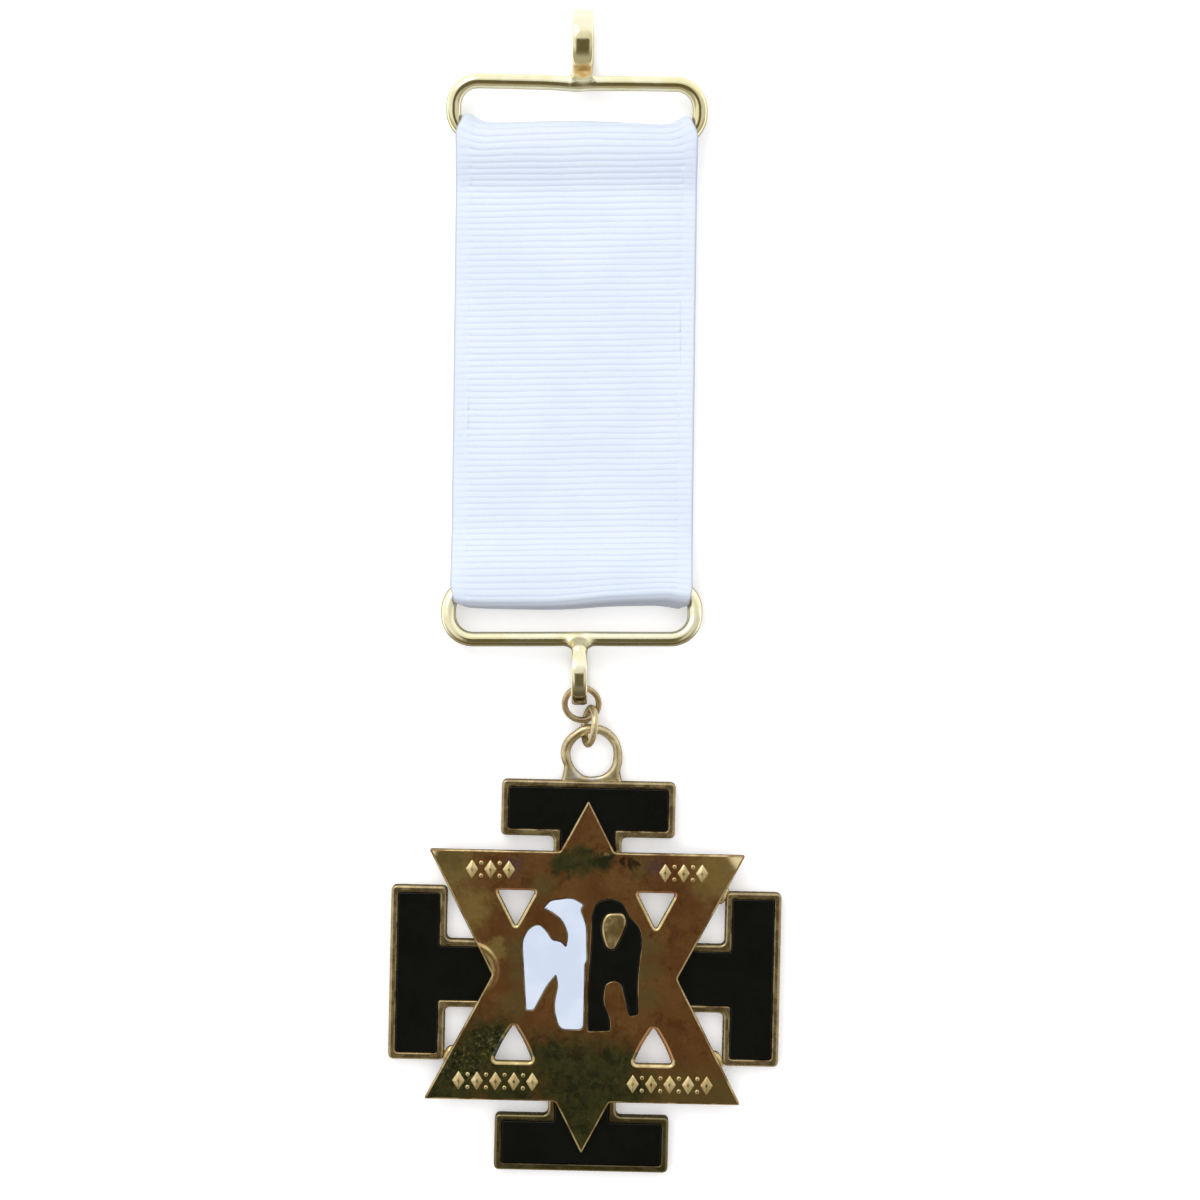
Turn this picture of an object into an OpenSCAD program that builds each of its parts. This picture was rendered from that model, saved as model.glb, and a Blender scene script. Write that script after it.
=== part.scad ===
// Breast jewel that lies on its back: a looped ribbon between two wire frames, and a cross with a star.
// Lengths in millimetres. +Y runs along the jewel towards its bail, and +Z faces the viewer.
// The surface that it lies on is at z = 0.

/* [Ribbon] */
// Width of the ribbon
ribbon_w = 38; // [32:0.5:44]
// Length of the ribbon from fold to fold
ribbon_l = 76.5; // [60:0.5:100]
// Thickness of one layer of the ribbon
ribbon_t = 1; // [0.8:0.05:1.2]
// Gap between the two sewn layers
ribbon_gap = 0.3; // [0.2:0.05:0.6]
// Length over which the layers close beside a bar
mouth_l = 9; // [6:0.5:14]
// Height that each fold leaves free above the bar in it
fold_play = 0.3; // [0.2:0.05:0.5]
// How far the ribbon is drawn in at each end of the upper fold
upper_pull = 1.5; // [1.2:0.1:2]
// How far the ribbon is drawn in at each end of the lower fold
lower_pull = 1.7; // [1.5:0.1:2]
// Lean of the ribbon to the left as it runs down, in degrees
ribbon_lean = 0.7; // [0:0.1:1]

/* [Wire frames] */
// Diameter of the frame wire
wire_d = 2.36; // [2:0.02:2.6]
// How much wider a frame is than the ribbon
frame_over = 3.1; // [2.8:0.1:4]
// Height of a frame over its two bars
frame_h = 10.9; // [10.4:0.1:13]
// Bend radius of a frame's corners, to the middle of the wire
corner_r = 3.85; // [3.4:0.05:4]
// Distance that the lower bar lies clear of the bottom of its fold
lower_slack = 1.45; // [0.8:0.05:2.2]
// Turn of the upper frame, in degrees
upper_turn = -1; // [-1.5:0.1:0]

/* [Bail and drop ring] */
// Outer diameter of the bail at the top
bail_d = 10.7; // [9:0.1:13]
// Thickness of the bail's strap
bail_t = 1.1; // [0.8:0.05:1.6]
// Width of the bail's strap
bail_w = 3.3; // [2:0.1:5]
// Outer diameter of the drop ring under the lower frame
drop_d = 9.7; // [9:0.1:12]
// Thickness of the drop ring's strap
drop_t = 1; // [0.8:0.05:1.2]
// Width of the drop ring's strap
drop_w = 2.5; // [1.8:0.1:2.6]
// Depth to which a strap is sunk in its solder
solder_sink = 0.45; // [0.3:0.05:0.6]
// Extra radius of the solder round a bar
solder_r = 0.45; // [0.2:0.05:0.6]
// Length of the solder along a bar
solder_l = 4.4; // [3.6:0.1:6]

/* [Jump rings] */
// Outer diameter of the upper jump ring
link_d = 6.3; // [6.2:0.1:7.5]
// Wire diameter of the upper jump ring
link_wire = 0.95; // [0.7:0.05:1]
// Slope of the upper jump ring, in degrees
link_slope = 17; // [12:1:20]
// Outer diameter of the lower jump ring
hook_d = 6.8; // [6.6:0.1:7.6]
// Wire diameter of the lower jump ring
hook_wire = 1.05; // [0.8:0.05:1.1]
// Lean of the lower jump ring away from upright, in degrees
hook_lean = 16; // [12:1:20]
// Turn of the lower jump ring, in degrees
hook_turn = -6; // [-8:1:-4]

/* [Cross] */
// Span of the cross over its arms
cross_span = 61.5; // [56:0.5:70]
// Thickness of the cross
cross_t = 2.5; // [2.2:0.1:3.5]
// Length of the bar across each arm's end
arm_bar_l = 27.4; // [22:0.2:32]
// Depth of the bar across each arm's end
arm_bar_d = 8.8; // [6:0.2:9]
// Width of the arms' stems
stem_w = 10.7; // [8:0.1:13]
// Width of the raised border
border_w = 1.1; // [0.7:0.05:1.6]
// Depth of the enamel fields
enamel_d = 0.6; // [0.4:0.05:1]
// Depth of an enamel's surface under its border
enamel_low = 0.12; // [0.05:0.01:0.2]
// Gap between an enamel and the wall round it
enamel_gap = 0.06; // [0.05:0.01:0.12]
// Turn of the cross, in degrees
cross_turn = -1.25; // [-2:0.25:0]
// Outer diameter of the ring on the cross
eye_d = 9.7; // [9.4:0.1:12]
// Wire diameter of the ring on the cross
eye_wire = 1.5; // [1.2:0.05:1.6]
// Depth to which the ring is sunk in its arm
eye_sink = 0.75; // [0.6:0.05:1]
// Width of the solder at the foot of the ring on the cross
eye_foot = 9.6; // [9:0.1:10.4]
// Thickness of that solder
eye_foot_t = 1.05; // [0.9:0.05:1.3]
// Upward slope of the ring on the cross, in degrees
eye_slope = 6; // [5:0.5:8]

/* [Star] */
// Thickness of the star plate
star_t = 1.2; // [0.9:0.1:2]
// Half height of the star, to its upright points
star_reach = 27.8; // [26:0.2:30]
// Half width of the star, to its side points
star_half_w = 24.9; // [23:0.2:27]
// Height of the side points' flat edge above the middle
star_shoulder = 19.65; // [18.6:0.1:20.5]
// Depth of the star's band above each window
band_h = 6.25; // [5.4:0.1:7]
// Width of the star's band beside each window, measured along X
band_w = 7.6; // [6.6:0.1:8.4]
// Distance from the line of the star's edge to the window's inner side
window_rim = 0.45; // [0.2:0.05:0.8]
// Swell of the lower windows' long sides
window_swell = 0.3; // [0.1:0.05:0.5]
// Width of the bevel round each window
window_bevel = 0.5; // [0.3:0.05:0.6]

/* [Eagle] */
// Height of the eagle
eagle_h = 21; // [17:0.5:22]
// Height of the eagle's middle above the star's middle
eagle_up = 1.95; // [1:0.05:2.5]
// Depth of the eagle's fields
eagle_d = 0.5; // [0.3:0.05:0.7]

/* [Ornament] */
// Height of a raised lozenge
lozenge_h = 3; // [2:0.1:3.6]
// Width of a raised lozenge
lozenge_w = 2; // [1.4:0.1:2.4]
// Pitch of the lozenges in a row
lozenge_pitch = 2.9; // [2.7:0.1:3]
// Diameter of the studs between the lozenges
stud_d = 0.7; // [0.5:0.05:0.8]
// Height of the raised ornament
relief = 0.25; // [0.15:0.05:0.4]
// Lozenges in each upper row
upper_lozenges = 3; // [2:1:3]
// Lozenges in each lower row
lower_lozenges = 5; // [3:1:5]

/* [Hidden] */

// Running play between a ring and the one that it passes through
play = 0.08;
// Reach of a cut past the face that it opens
cut = 0.5;
GOLD = [0.86, 0.76, 0.45];
BRASS = [0.66, 0.56, 0.38];
RIBBON_WHITE = [0.92, 0.95, 1];
ENAMEL_BLACK = [0.05, 0.06, 0.07];
ENAMEL_WHITE = [0.85, 0.88, 0.94];

wire_r = wire_d / 2;
frame_half_w = (ribbon_w + frame_over - wire_d) / 2;
frame_reach = frame_h - wire_d;

// Heights of the bars, and the tilts at which the bail and the drop ring touch the surface
bar_z = ribbon_t + fold_play / 2 + wire_r;
bail_arm = frame_reach + wire_r + bail_d / 2 - solder_sink;
drop_arm = frame_reach + wire_r + drop_d / 2 - solder_sink;
upper_tilt = asin((bail_d / 2 - bar_z) / bail_arm);
lower_tilt = asin((drop_d / 2 - bar_z) / drop_arm);

// Fold radius to the middle of the cloth, and half the height between the sewn layers' middles
fold_r = (ribbon_t + fold_play) / 2 + wire_r;
sewn_r = (ribbon_t + ribbon_gap) / 2;

// Places along Y, measured from the bar in the upper fold
upper_fold_y = wire_r + ribbon_t + 0.1 * wire_r;
lower_fold_y = upper_fold_y - ribbon_l;
lower_bar_y = lower_fold_y + ribbon_t + lower_slack + wire_r;
bail_y = bail_arm * cos(upper_tilt);
drop_y = lower_bar_y - drop_arm * cos(lower_tilt);
drop_z = drop_d / 2;

// The upper jump ring holds the drop ring's strap inside it
link_r = (link_d - link_wire) / 2;
link_z = 0.6 * drop_z;
link_off = 0.35;
strap_y = sqrt(pow(drop_d / 2 - drop_t, 2) - pow(drop_z - link_z, 2));
strap_corner = sqrt(pow(link_d / 2 - link_wire - play, 2) - pow(drop_w / 2 + link_off, 2));
link_y = drop_y - strap_y - strap_corner;

// The lower jump ring stands on the surface
hook_r = (hook_d - hook_wire) / 2;
hook_z = hook_r * cos(hook_lean) + hook_wire / 2;
hook_off = 0.47 * link_r;
crossing = sqrt(link_r * link_r - hook_off * hook_off);
hook_room = hook_r - hook_wire / 2 - link_wire / 2 - play;
crossing_z = link_z - crossing * sin(link_slope);
hook_y = link_y - crossing * cos(link_slope) - 0.85 * sqrt(pow(hook_room, 2) - pow(hook_z - crossing_z, 2));

// The cross hangs from it by its eye
eye_r = (eye_d - eye_wire) / 2;
eye_top_z = cross_t / 2 + (eye_r + eye_d / 2 - eye_sink) * sin(eye_slope);
eye_room = hook_r - hook_wire / 2 - eye_wire / 2 - play;
eye_y = hook_y - 0.5 * sqrt(max(0, pow(eye_room, 2) - pow(hook_z - eye_top_z, 2))) - eye_r;
cross_y = eye_y - eye_d / 2 + eye_sink - cross_span / 2;

// The whole jewel's middle is moved to the origin
top_y = bail_y + bail_d / 2;
bottom_y = cross_y - cross_span / 2 * cos(cross_turn) + arm_bar_l / 2 * sin(cross_turn);
middle_y = (top_y + bottom_y) / 2;

// Sideways places as the jewel lies, measured from the middle of the cross
upper_frame_x = -1.3;
ribbon_top_x = -1.2;
lower_frame_x = ribbon_top_x - ribbon_l * sin(ribbon_lean) + 0.1;
bail_off = 0.8;
drop_off = 1.2;
link_x = lower_frame_x + drop_off + link_off;
eye_off = 0.4;

// Shape of the ribbon across its width. Each row is one section:
// across: its place as a share of the width,
// top and low: how far the upper and the lower fold reach out, as shares of the wire's diameter,
// lift: how far the upper layer rises at the lower fold, as a share of the wire's diameter
ACROSS = 0;
TOP = 1;
LOW = 2;
LIFT = 3;
RIBBON_SECTIONS = [
    [0.00, 0.60, -0.10, 0.24],
    [0.03, 0.46, 0.02, 0.20],
    [0.06, 0.20, 0.06, 0.14],
    [0.10, 0.02, 0.08, 0.08],
    [0.17, 0.01, 0.10, 0.04],
    [0.28, 0.08, 0.12, 0.00],
    [0.40, 0.14, 0.12, 0.00],
    [0.52, 0.16, 0.04, 0.00],
    [0.64, 0.12, -0.12, 0.00],
    [0.75, 0.06, -0.20, 0.00],
    [0.84, 0.01, -0.24, 0.04],
    [0.90, 0.00, -0.24, 0.08],
    [0.94, 0.18, -0.16, 0.14],
    [0.97, 0.44, 0.00, 0.20],
    [1.00, 0.58, 0.08, 0.24]
];
// Stations along a mouth, as shares of its length, from the fold inwards
MOUTH = [0, 0.12, 0.25, 0.4, 0.55, 0.7, 0.85, 1];
// Stations between the mouths, and steps round each fold
RUN_STEPS = 6;
FOLD_STEPS = 8;

function smooth(x) = let (s = min(1, max(0, x))) s * s * (3 - 2 * s);
function unit(v) = v / norm(v);
function turned(v, a) = [v[0] * cos(a) - v[1] * sin(a), v[0] * sin(a) + v[1] * cos(a)];

// A closed outline whose rows are [x, y, rounding], with each corner cut back by its rounding and curved
function bend(a, b, c, t) = (1 - t) * (1 - t) * a + 2 * t * (1 - t) * b + t * t * c;
function rounded(rows, steps) = [
    for (i = [0 : len(rows) - 1])
        let (
            p = [rows[i][0], rows[i][1]],
            before = rows[(i + len(rows) - 1) % len(rows)],
            after = rows[(i + 1) % len(rows)],
            to_before = [before[0], before[1]] - p,
            to_after = [after[0], after[1]] - p,
            back = min(rows[i][2], 0.48 * norm(to_before), 0.48 * norm(to_after))
        )
        each back < 0.02 ? [p] : [
            for (k = [0 : steps])
                bend(p + back * unit(to_before), p, p + back * unit(to_after), k / steps)
        ]
];

// The same outline drawn in by d all round. Outlines run clockwise.
function inset(points, d) = let (n = len(points)) [
    for (i = [0 : n - 1])
        let (
            a = turned(unit(points[i] - points[(i + n - 1) % n]), -90),
            b = turned(unit(points[(i + 1) % n] - points[i]), -90),
            m = a + b
        )
        points[i] + m * (2 * d / (m * m))
];

// A solid between two outlines with as many points, one above the other
module frustum(low, low_z, high, high_z) {
    n = len(low);
    polyhedron(
        points = concat([for (p = low) [p[0], p[1], low_z]], [for (p = high) [p[0], p[1], high_z]]),
        faces = concat(
            [[for (i = [n - 1 : -1 : 0]) i]],
            [[for (i = [0 : n - 1]) n + i]],
            [for (i = [0 : n - 1]) [i, (i + 1) % n, n + (i + 1) % n, n + i]]
        )
    );
}

// A round wire ring in the XY plane
module wire_ring(r, wire) {
    rotate_extrude($fn = 96)
        translate([r, 0])
            circle(d = wire, $fn = 32);
}

// A wire frame with its inner bar on the X axis and its outer bar towards +Y
module wire_frame() {
    side_x = frame_half_w - corner_r;
    for (side = [-1, 1]) {
        for (end = [0, 1])
            translate([side * side_x, end == 0 ? corner_r : frame_reach - corner_r, 0])
                rotate([0, 0, (end == 0 ? (side == 1 ? 270 : 180) : (side == 1 ? 0 : 90))])
                    rotate_extrude(angle = 90, $fn = 96)
                        translate([corner_r, 0])
                            circle(d = wire_d, $fn = 32);
        translate([side * frame_half_w, corner_r, 0])
            rotate([-90, 0, 0])
                cylinder(d = wire_d, h = frame_reach - 2 * corner_r, $fn = 32);
    }
    for (y = [0, frame_reach])
        translate([-side_x, y, 0])
            rotate([0, 90, 0])
                cylinder(d = wire_d, h = 2 * side_x, $fn = 32);
}

// Solder that swells round a bar lying along X, and stays out of the ring whose strap is t thick
module solder(t) {
    swell = min(solder_r, t - solder_sink - 0.05);
    rotate([0, 90, 0])
        rotate_extrude($fn = 48)
            polygon([
                [0, -solder_l / 2],
                [wire_r * 0.98, -solder_l / 2],
                [wire_r + swell * 0.7, -solder_l / 4],
                [wire_r + swell, 0],
                [wire_r + swell * 0.7, solder_l / 4],
                [wire_r * 0.98, solder_l / 2],
                [0, solder_l / 2]
            ]);
}

// A flat strap bent to a ring, its axis along X and its middle at the origin
module strap_ring(d, t, w) {
    rotate([0, 90, 0])
        difference() {
            cylinder(d = d, h = w, center = true, $fn = 96);
            cylinder(d = d - 2 * t, h = w + 2 * cut, center = true, $fn = 96);
        }
}

// A frame with a strap ring soldered on its outer bar, off its middle by off
module hung_frame(ring_d, ring_t, ring_w, arm, off) {
    wire_frame();
    translate([off, frame_reach, 0])
        solder(ring_t);
    translate([off, arm, 0])
        strap_ring(ring_d, ring_t, ring_w);
}

module upper_frame() {
    color(GOLD)
        translate([upper_frame_x, -middle_y, bar_z])
            rotate([upper_tilt, 0, upper_turn])
                hung_frame(bail_d, bail_t, bail_w, bail_arm, bail_off);
}

module lower_frame() {
    color(GOLD)
        translate([lower_frame_x, lower_bar_y - middle_y, bar_z])
            rotate([lower_tilt, 0, 180])
                hung_frame(drop_d, drop_t, drop_w, drop_arm, -drop_off);
}

// Places of the folds' arc centres along the ribbon, which is measured from its lower fold
low_arc_y = fold_r + ribbon_t / 2;
top_arc_y = ribbon_l - fold_r - ribbon_t / 2;
low_mouth = lower_slack + mouth_l;

// How far open the ribbon is at y: 1 round a bar, 0 where the layers are sewn
function opened(y) = max(
    1 - smooth((y - low_arc_y - lower_slack - wire_r) / (mouth_l - wire_r)),
    1 - smooth((top_arc_y - y - wire_r) / (mouth_l - wire_r))
);
function upper_layer_z(y) = ribbon_t / 2 + 2 * (sewn_r + (fold_r - sewn_r) * opened(y));

// Middle of the cloth once round the loop, as [y, z]: the back layer, the upper fold,
// the front layer and the lower fold
run_ys = concat(
    [for (s = MOUTH) low_arc_y + s * low_mouth],
    [
        for (k = [1 : RUN_STEPS - 1])
            let (a = low_arc_y + low_mouth, b = top_arc_y - mouth_l)
            a + (b - a) * k / RUN_STEPS
    ],
    [for (k = [len(MOUTH) - 1 : -1 : 0]) top_arc_y - MOUTH[k] * mouth_l]
);
loop = concat(
    [for (y = run_ys) [y, ribbon_t / 2]],
    [
        for (k = [1 : FOLD_STEPS - 1])
            let (a = -90 + 180 * k / FOLD_STEPS)
            [top_arc_y + fold_r * cos(a), ribbon_t / 2 + fold_r + fold_r * sin(a)]
    ],
    [for (k = [len(run_ys) - 1 : -1 : 0]) [run_ys[k], upper_layer_z(run_ys[k])]],
    [
        for (k = [1 : FOLD_STEPS - 1])
            let (a = 90 + 180 * k / FOLD_STEPS)
            [low_arc_y + fold_r * cos(a), ribbon_t / 2 + fold_r + fold_r * sin(a)]
    ]
);

function loop_out(i) = let (
    n = len(loop),
    d = unit(loop[(i + 1) % n] - loop[(i + n - 1) % n])
) [d[1], -d[0]];

// A point of the ribbon: side is 1 on the outside of the cloth and -1 on the inside
function ribbon_point(row, i, side) = let (
    p = loop[i] + side * ribbon_t / 2 * loop_out(i),
    near_top = smooth((p[0] - top_arc_y + mouth_l / 2) / (mouth_l / 2)),
    near_low = smooth((low_arc_y + mouth_l / 2 - p[0]) / (mouth_l / 2)),
    in_top = smooth((p[0] - top_arc_y + wire_r) / (fold_r + wire_r)),
    in_low = smooth((low_arc_y + wire_r - p[0]) / (fold_r + wire_r)),
    high = smooth((p[1] - ribbon_t) / (2 * fold_r - ribbon_t)),
    half_w = ribbon_w / 2 - upper_pull * in_top - lower_pull * in_low,
    y = p[0] + wire_d * (row[TOP] * near_top - row[LOW] * near_low)
) [
    (2 * row[ACROSS] - 1) * half_w,
    y,
    p[1] + wire_d * high * (row[LIFT] * near_low + row[TOP] * sin(upper_tilt) * near_top)
];

module ribbon() {
    rows = len(RIBBON_SECTIONS);
    n = len(loop);
    outer = [for (row = RIBBON_SECTIONS) for (i = [0 : n - 1]) ribbon_point(row, i, 1)];
    inner = [for (row = RIBBON_SECTIONS) for (i = [0 : n - 1]) ribbon_point(row, i, -1)];
    far = rows * n;
    last = (rows - 1) * n;
    outer_faces = [
        for (r = [0 : rows - 2]) for (i = [0 : n - 1])
            let (j = (i + 1) % n)
            each [
                [r * n + i, r * n + j, (r + 1) * n + j],
                [r * n + i, (r + 1) * n + j, (r + 1) * n + i]
            ]
    ];
    inner_faces = [
        for (r = [0 : rows - 2]) for (i = [0 : n - 1])
            let (j = (i + 1) % n)
            each [
                [far + r * n + i, far + (r + 1) * n + j, far + r * n + j],
                [far + r * n + i, far + (r + 1) * n + i, far + (r + 1) * n + j]
            ]
    ];
    edge_faces = [
        for (i = [0 : n - 1])
            let (j = (i + 1) % n)
            each [
                [i, far + i, far + j],
                [i, far + j, j],
                [last + i, last + j, far + last + j],
                [last + i, far + last + j, far + last + i]
            ]
    ];
    color(RIBBON_WHITE)
        translate([ribbon_top_x, upper_fold_y - middle_y, 0])
            rotate([0, 0, -ribbon_lean])
                translate([0, -ribbon_l, 0])
                    polyhedron(
                        points = concat(outer, inner),
                        faces = concat(outer_faces, inner_faces, edge_faces)
                    );
}

module jump_ring_upper() {
    color(BRASS)
        translate([link_x, link_y - middle_y, link_z])
            rotate([link_slope, 0, 0])
                wire_ring(link_r, link_wire);
}

module jump_ring_lower() {
    color(BRASS)
        translate([link_x + hook_off, hook_y - middle_y, hook_z])
            rotate([0, 0, hook_turn])
                rotate([0, 90 + hook_lean, 0])
                    wire_ring(hook_r, hook_wire);
}

half_span = cross_span / 2;
bar_y = half_span - arm_bar_d;
half_stem = stem_w / 2;
half_bar = arm_bar_l / 2;
// Radius of the cross's outer corners, and of the corners where stems and bars meet
outer_corner = 0.9;
inner_corner = 0.9;
// Inner end of each enamel field, hidden by the star
field_start = 0.6 * star_half_w * star_reach / (star_reach + star_shoulder);

cross_outline = rounded([
    for (arm = [0 : 3])
        for (row = [
            [-half_stem, half_stem, inner_corner],
            [-half_stem, bar_y, inner_corner],
            [-half_bar, bar_y, outer_corner],
            [-half_bar, half_span, outer_corner],
            [half_bar, half_span, outer_corner],
            [half_bar, bar_y, outer_corner],
            [half_stem, bar_y, inner_corner]
        ])
            let (p = turned([row[0], row[1]], -90 * arm))
            [p[0], p[1], row[2]]
], 4);

field_outline = rounded([
    [border_w - half_stem, field_start, 0],
    [border_w - half_stem, bar_y + border_w, 0.5],
    [border_w - half_bar, bar_y + border_w, 0.5],
    [border_w - half_bar, half_span - border_w, 0.5],
    [half_bar - border_w, half_span - border_w, 0.5],
    [half_bar - border_w, bar_y + border_w, 0.5],
    [half_stem - border_w, bar_y + border_w, 0.5],
    [half_stem - border_w, field_start, 0]
], 3);

// Slope of the star's long edges, as X per Y
edge_slope = star_half_w / (star_reach + star_shoulder);
// Rounding of the star's points and of its hollows
point_round = 0.5;
hollow_round = 0.4;
notch_x = (star_reach - star_shoulder) * edge_slope;
waist_x = star_reach * edge_slope;
star_outline = rounded([
    [0, star_reach, point_round],
    [notch_x, star_shoulder, hollow_round],
    [star_half_w, star_shoulder, point_round],
    [waist_x, 0, hollow_round],
    [star_half_w, -star_shoulder, point_round],
    [notch_x, -star_shoulder, hollow_round],
    [0, -star_reach, point_round],
    [-notch_x, -star_shoulder, hollow_round],
    [-star_half_w, -star_shoulder, point_round],
    [-waist_x, 0, hollow_round],
    [-star_half_w, star_shoulder, point_round],
    [-notch_x, star_shoulder, hollow_round]
], 3);

// A window in the star's upper right, its long sides swollen in the middle
window_y = star_shoulder - band_h;
window_low_y = (band_w + window_rim) / (2 * edge_slope);
window_left = (star_reach - window_y) * edge_slope + window_rim;
window_right = (star_reach + window_y) * edge_slope - band_w;
window_tip = (star_reach - window_low_y) * edge_slope + window_rim;
window_round = 0.5;
function window_outline(swell) = let (
    middle_y = (window_y + window_low_y) / 2,
    bend_round = (window_y - window_low_y) / 3
) rounded([
    [window_left, window_y, window_round],
    [window_right, window_y, window_round],
    if (swell > 0) [(window_right + window_tip) / 2 + swell, middle_y, bend_round],
    [window_tip, window_low_y, window_round],
    if (swell > 0) [(window_left + window_tip) / 2 - swell, middle_y, bend_round]
], 3);

// Outlines of the eagle's halves and of the gilt drop in the black one, clockwise.
// Each row is [across, up, rounding] in hundredths of the eagle's height, from its middle.
WHITE_HALF = [
    [-32, 41.5, 1], [-27, 47.5, 3], [-10.5, 50, 5], [-2, 45, 1.5], [-4, 40.5, 1.5], [0.5, 30, 6],
    [1.5, 3, 2], [0, 0.5, 1.5], [0, -49, 5], [-18, -49, 5], [-23, -33, 7], [-20, -16, 2.5],
    [-21.5, -8, 1.5], [-28.5, -17, 4], [-37.5, -35, 2], [-43.5, -35, 1.5], [-45.5, -9, 10],
    [-47.5, 17, 6], [-42.5, 26.5, 4], [-35, 30, 4], [-29.5, 25, 3], [-25, 18, 2],
    [-18.5, 17, 1.5], [-14.5, 13, 1], [-13, 22, 5], [-17.5, 33, 6], [-26, 39, 3]
];
BLACK_HALF = [
    [4.5, 39, 5], [8, 47.5, 6], [17, 50, 7], [26.5, 47.5, 6], [32, 36.5, 6], [40.5, 29, 5],
    [42.5, 17, 6], [39.5, -9, 14], [40.5, -36.5, 1.5], [34, -38, 2], [30, -23.5, 7],
    [27.5, -13.5, 4], [22, -11.5, 3], [15.5, -14, 4], [14, -28.5, 6], [19.5, -39, 5],
    [20, -49, 2], [3, -50, 2], [2.5, -16.5, 10], [4, 10, 8]
];
GILT_DROP = [
    [11.5, 31, 6], [15, 39, 5], [28.5, 39.5, 5], [31, 32.5, 4], [27, 21, 5], [21.5, 11, 4],
    [15.5, 12.5, 3], [12, 22, 7]
];

function eagle_outline(rows) = let (
    share = eagle_h / 100,
    sized = [for (row = rows) [row[0] * share, row[1] * share + eagle_up, row[2] * share]]
) rounded(sized, 3);

// Height of the star's face
face_z = cross_t + star_t;

module enamel_field(arm, d, z, h) {
    rotate([0, 0, -90 * arm])
        translate([0, 0, z])
            linear_extrude(h)
                polygon(inset(field_outline, d));
}

// A row of lozenges with studs between them, raised from the star's face
module ornament_row(x, y, count) {
    for (i = [0 : count - 1])
        translate([x + (i - (count - 1) / 2) * lozenge_pitch, y, face_z - cut])
            linear_extrude(cut + relief)
                polygon([[0, lozenge_h / 2], [lozenge_w / 2, 0], [0, -lozenge_h / 2], [-lozenge_w / 2, 0]]);
    for (i = [0 : count - 2])
        for (side = [-1, 1])
            translate([x + (i + 1 - count / 2) * lozenge_pitch, y + side * lozenge_h / 3, face_z - cut])
                cylinder(d = stud_d, h = cut + relief, $fn = 24);
}

// Middle of the ornament rows, in the bands above and below the windows
ornament_y = star_shoulder - band_h / 2 + 0.1;
upper_ornament_x = 0.61 * star_half_w;
lower_ornament_x = 0.55 * star_half_w;

// What is cut away for one window, with its bevel
module window(outline) {
    translate([0, 0, cross_t - cut])
        linear_extrude(star_t + 2 * cut)
            polygon(outline);
    frustum(outline, face_z - window_bevel, inset(outline, -1.2 * window_bevel), face_z + 0.2 * window_bevel);
}

module star() {
    difference() {
        translate([0, 0, cross_t])
            linear_extrude(star_t)
                polygon(star_outline);
        for (flip_x = [0, 1])
            for (flip_y = [0, 1])
                mirror([flip_x, 0, 0])
                    mirror([0, flip_y, 0])
                        window(window_outline(flip_y * window_swell));
        translate([0, 0, face_z - eagle_d])
            linear_extrude(eagle_d + cut)
                polygon(eagle_outline(WHITE_HALF));
        translate([0, 0, face_z - eagle_d])
            linear_extrude(eagle_d + cut)
                difference() {
                    polygon(eagle_outline(BLACK_HALF));
                    polygon(eagle_outline(GILT_DROP));
                }
    }
    for (side = [-1, 1]) {
        ornament_row(side * upper_ornament_x, ornament_y, upper_lozenges);
        ornament_row(side * lower_ornament_x, -ornament_y, lower_lozenges);
    }
}

// How far round its ring, from the bottom, the solder at the eye's foot climbs, in degrees
foot_climb = 62;
eye_middle = eye_d / 2 - eye_sink;

// Half of the foot's outline: out along the arm, up the ring's outer side, and back along its wire
foot_half = [
    [0, -cut],
    [eye_foot / 2, -cut],
    [eye_foot / 2, 0],
    [(eye_foot + eye_d * sin(foot_climb)) / 4 - 0.1, 0.35 * (eye_middle - eye_d / 2 * cos(foot_climb))],
    [eye_d / 2 * sin(foot_climb), eye_middle - eye_d / 2 * cos(foot_climb)],
    for (a = [foot_climb : -foot_climb / 3 : 1])
        [eye_r * sin(a), eye_middle - eye_r * cos(a)],
    [0, eye_middle - eye_r]
];

// The eye's ring and the solder at its foot, sloping up from the top arm
module eye() {
    translate([eye_off, half_span, cross_t / 2])
        rotate([eye_slope, 0, 0]) {
            translate([0, eye_middle, 0])
                wire_ring(eye_r, eye_wire);
            translate([0, 0, -eye_foot_t / 2])
                linear_extrude(eye_foot_t)
                    for (side = [0, 1])
                        mirror([side, 0])
                            polygon(foot_half);
        }
}

module in_cross_place() {
    translate([0, cross_y - middle_y, 0])
        rotate([0, 0, cross_turn])
            children();
}

module cross() {
    color(GOLD)
        in_cross_place() {
            difference() {
                linear_extrude(cross_t)
                    polygon(cross_outline);
                for (arm = [0 : 3])
                    enamel_field(arm, 0, cross_t - enamel_d, enamel_d + cut);
            }
            star();
            eye();
        }
}

module enamel(arm) {
    color(ENAMEL_BLACK)
        in_cross_place()
            enamel_field(arm, enamel_gap, cross_t - enamel_d, enamel_d - enamel_low);
}

module enamel_top() {
    enamel(0);
}

module enamel_right() {
    enamel(1);
}

module enamel_bottom() {
    enamel(2);
}

module enamel_left() {
    enamel(3);
}

module eagle_white() {
    color(ENAMEL_WHITE)
        in_cross_place()
            translate([0, 0, face_z - eagle_d])
                linear_extrude(eagle_d)
                    polygon(inset(eagle_outline(WHITE_HALF), enamel_gap));
}

module eagle_black() {
    color(ENAMEL_BLACK)
        in_cross_place()
            translate([0, 0, face_z - eagle_d])
                linear_extrude(eagle_d - enamel_low)
                    difference() {
                        polygon(inset(eagle_outline(BLACK_HALF), enamel_gap));
                        polygon(inset(eagle_outline(GILT_DROP), -enamel_gap));
                    }
}

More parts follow.
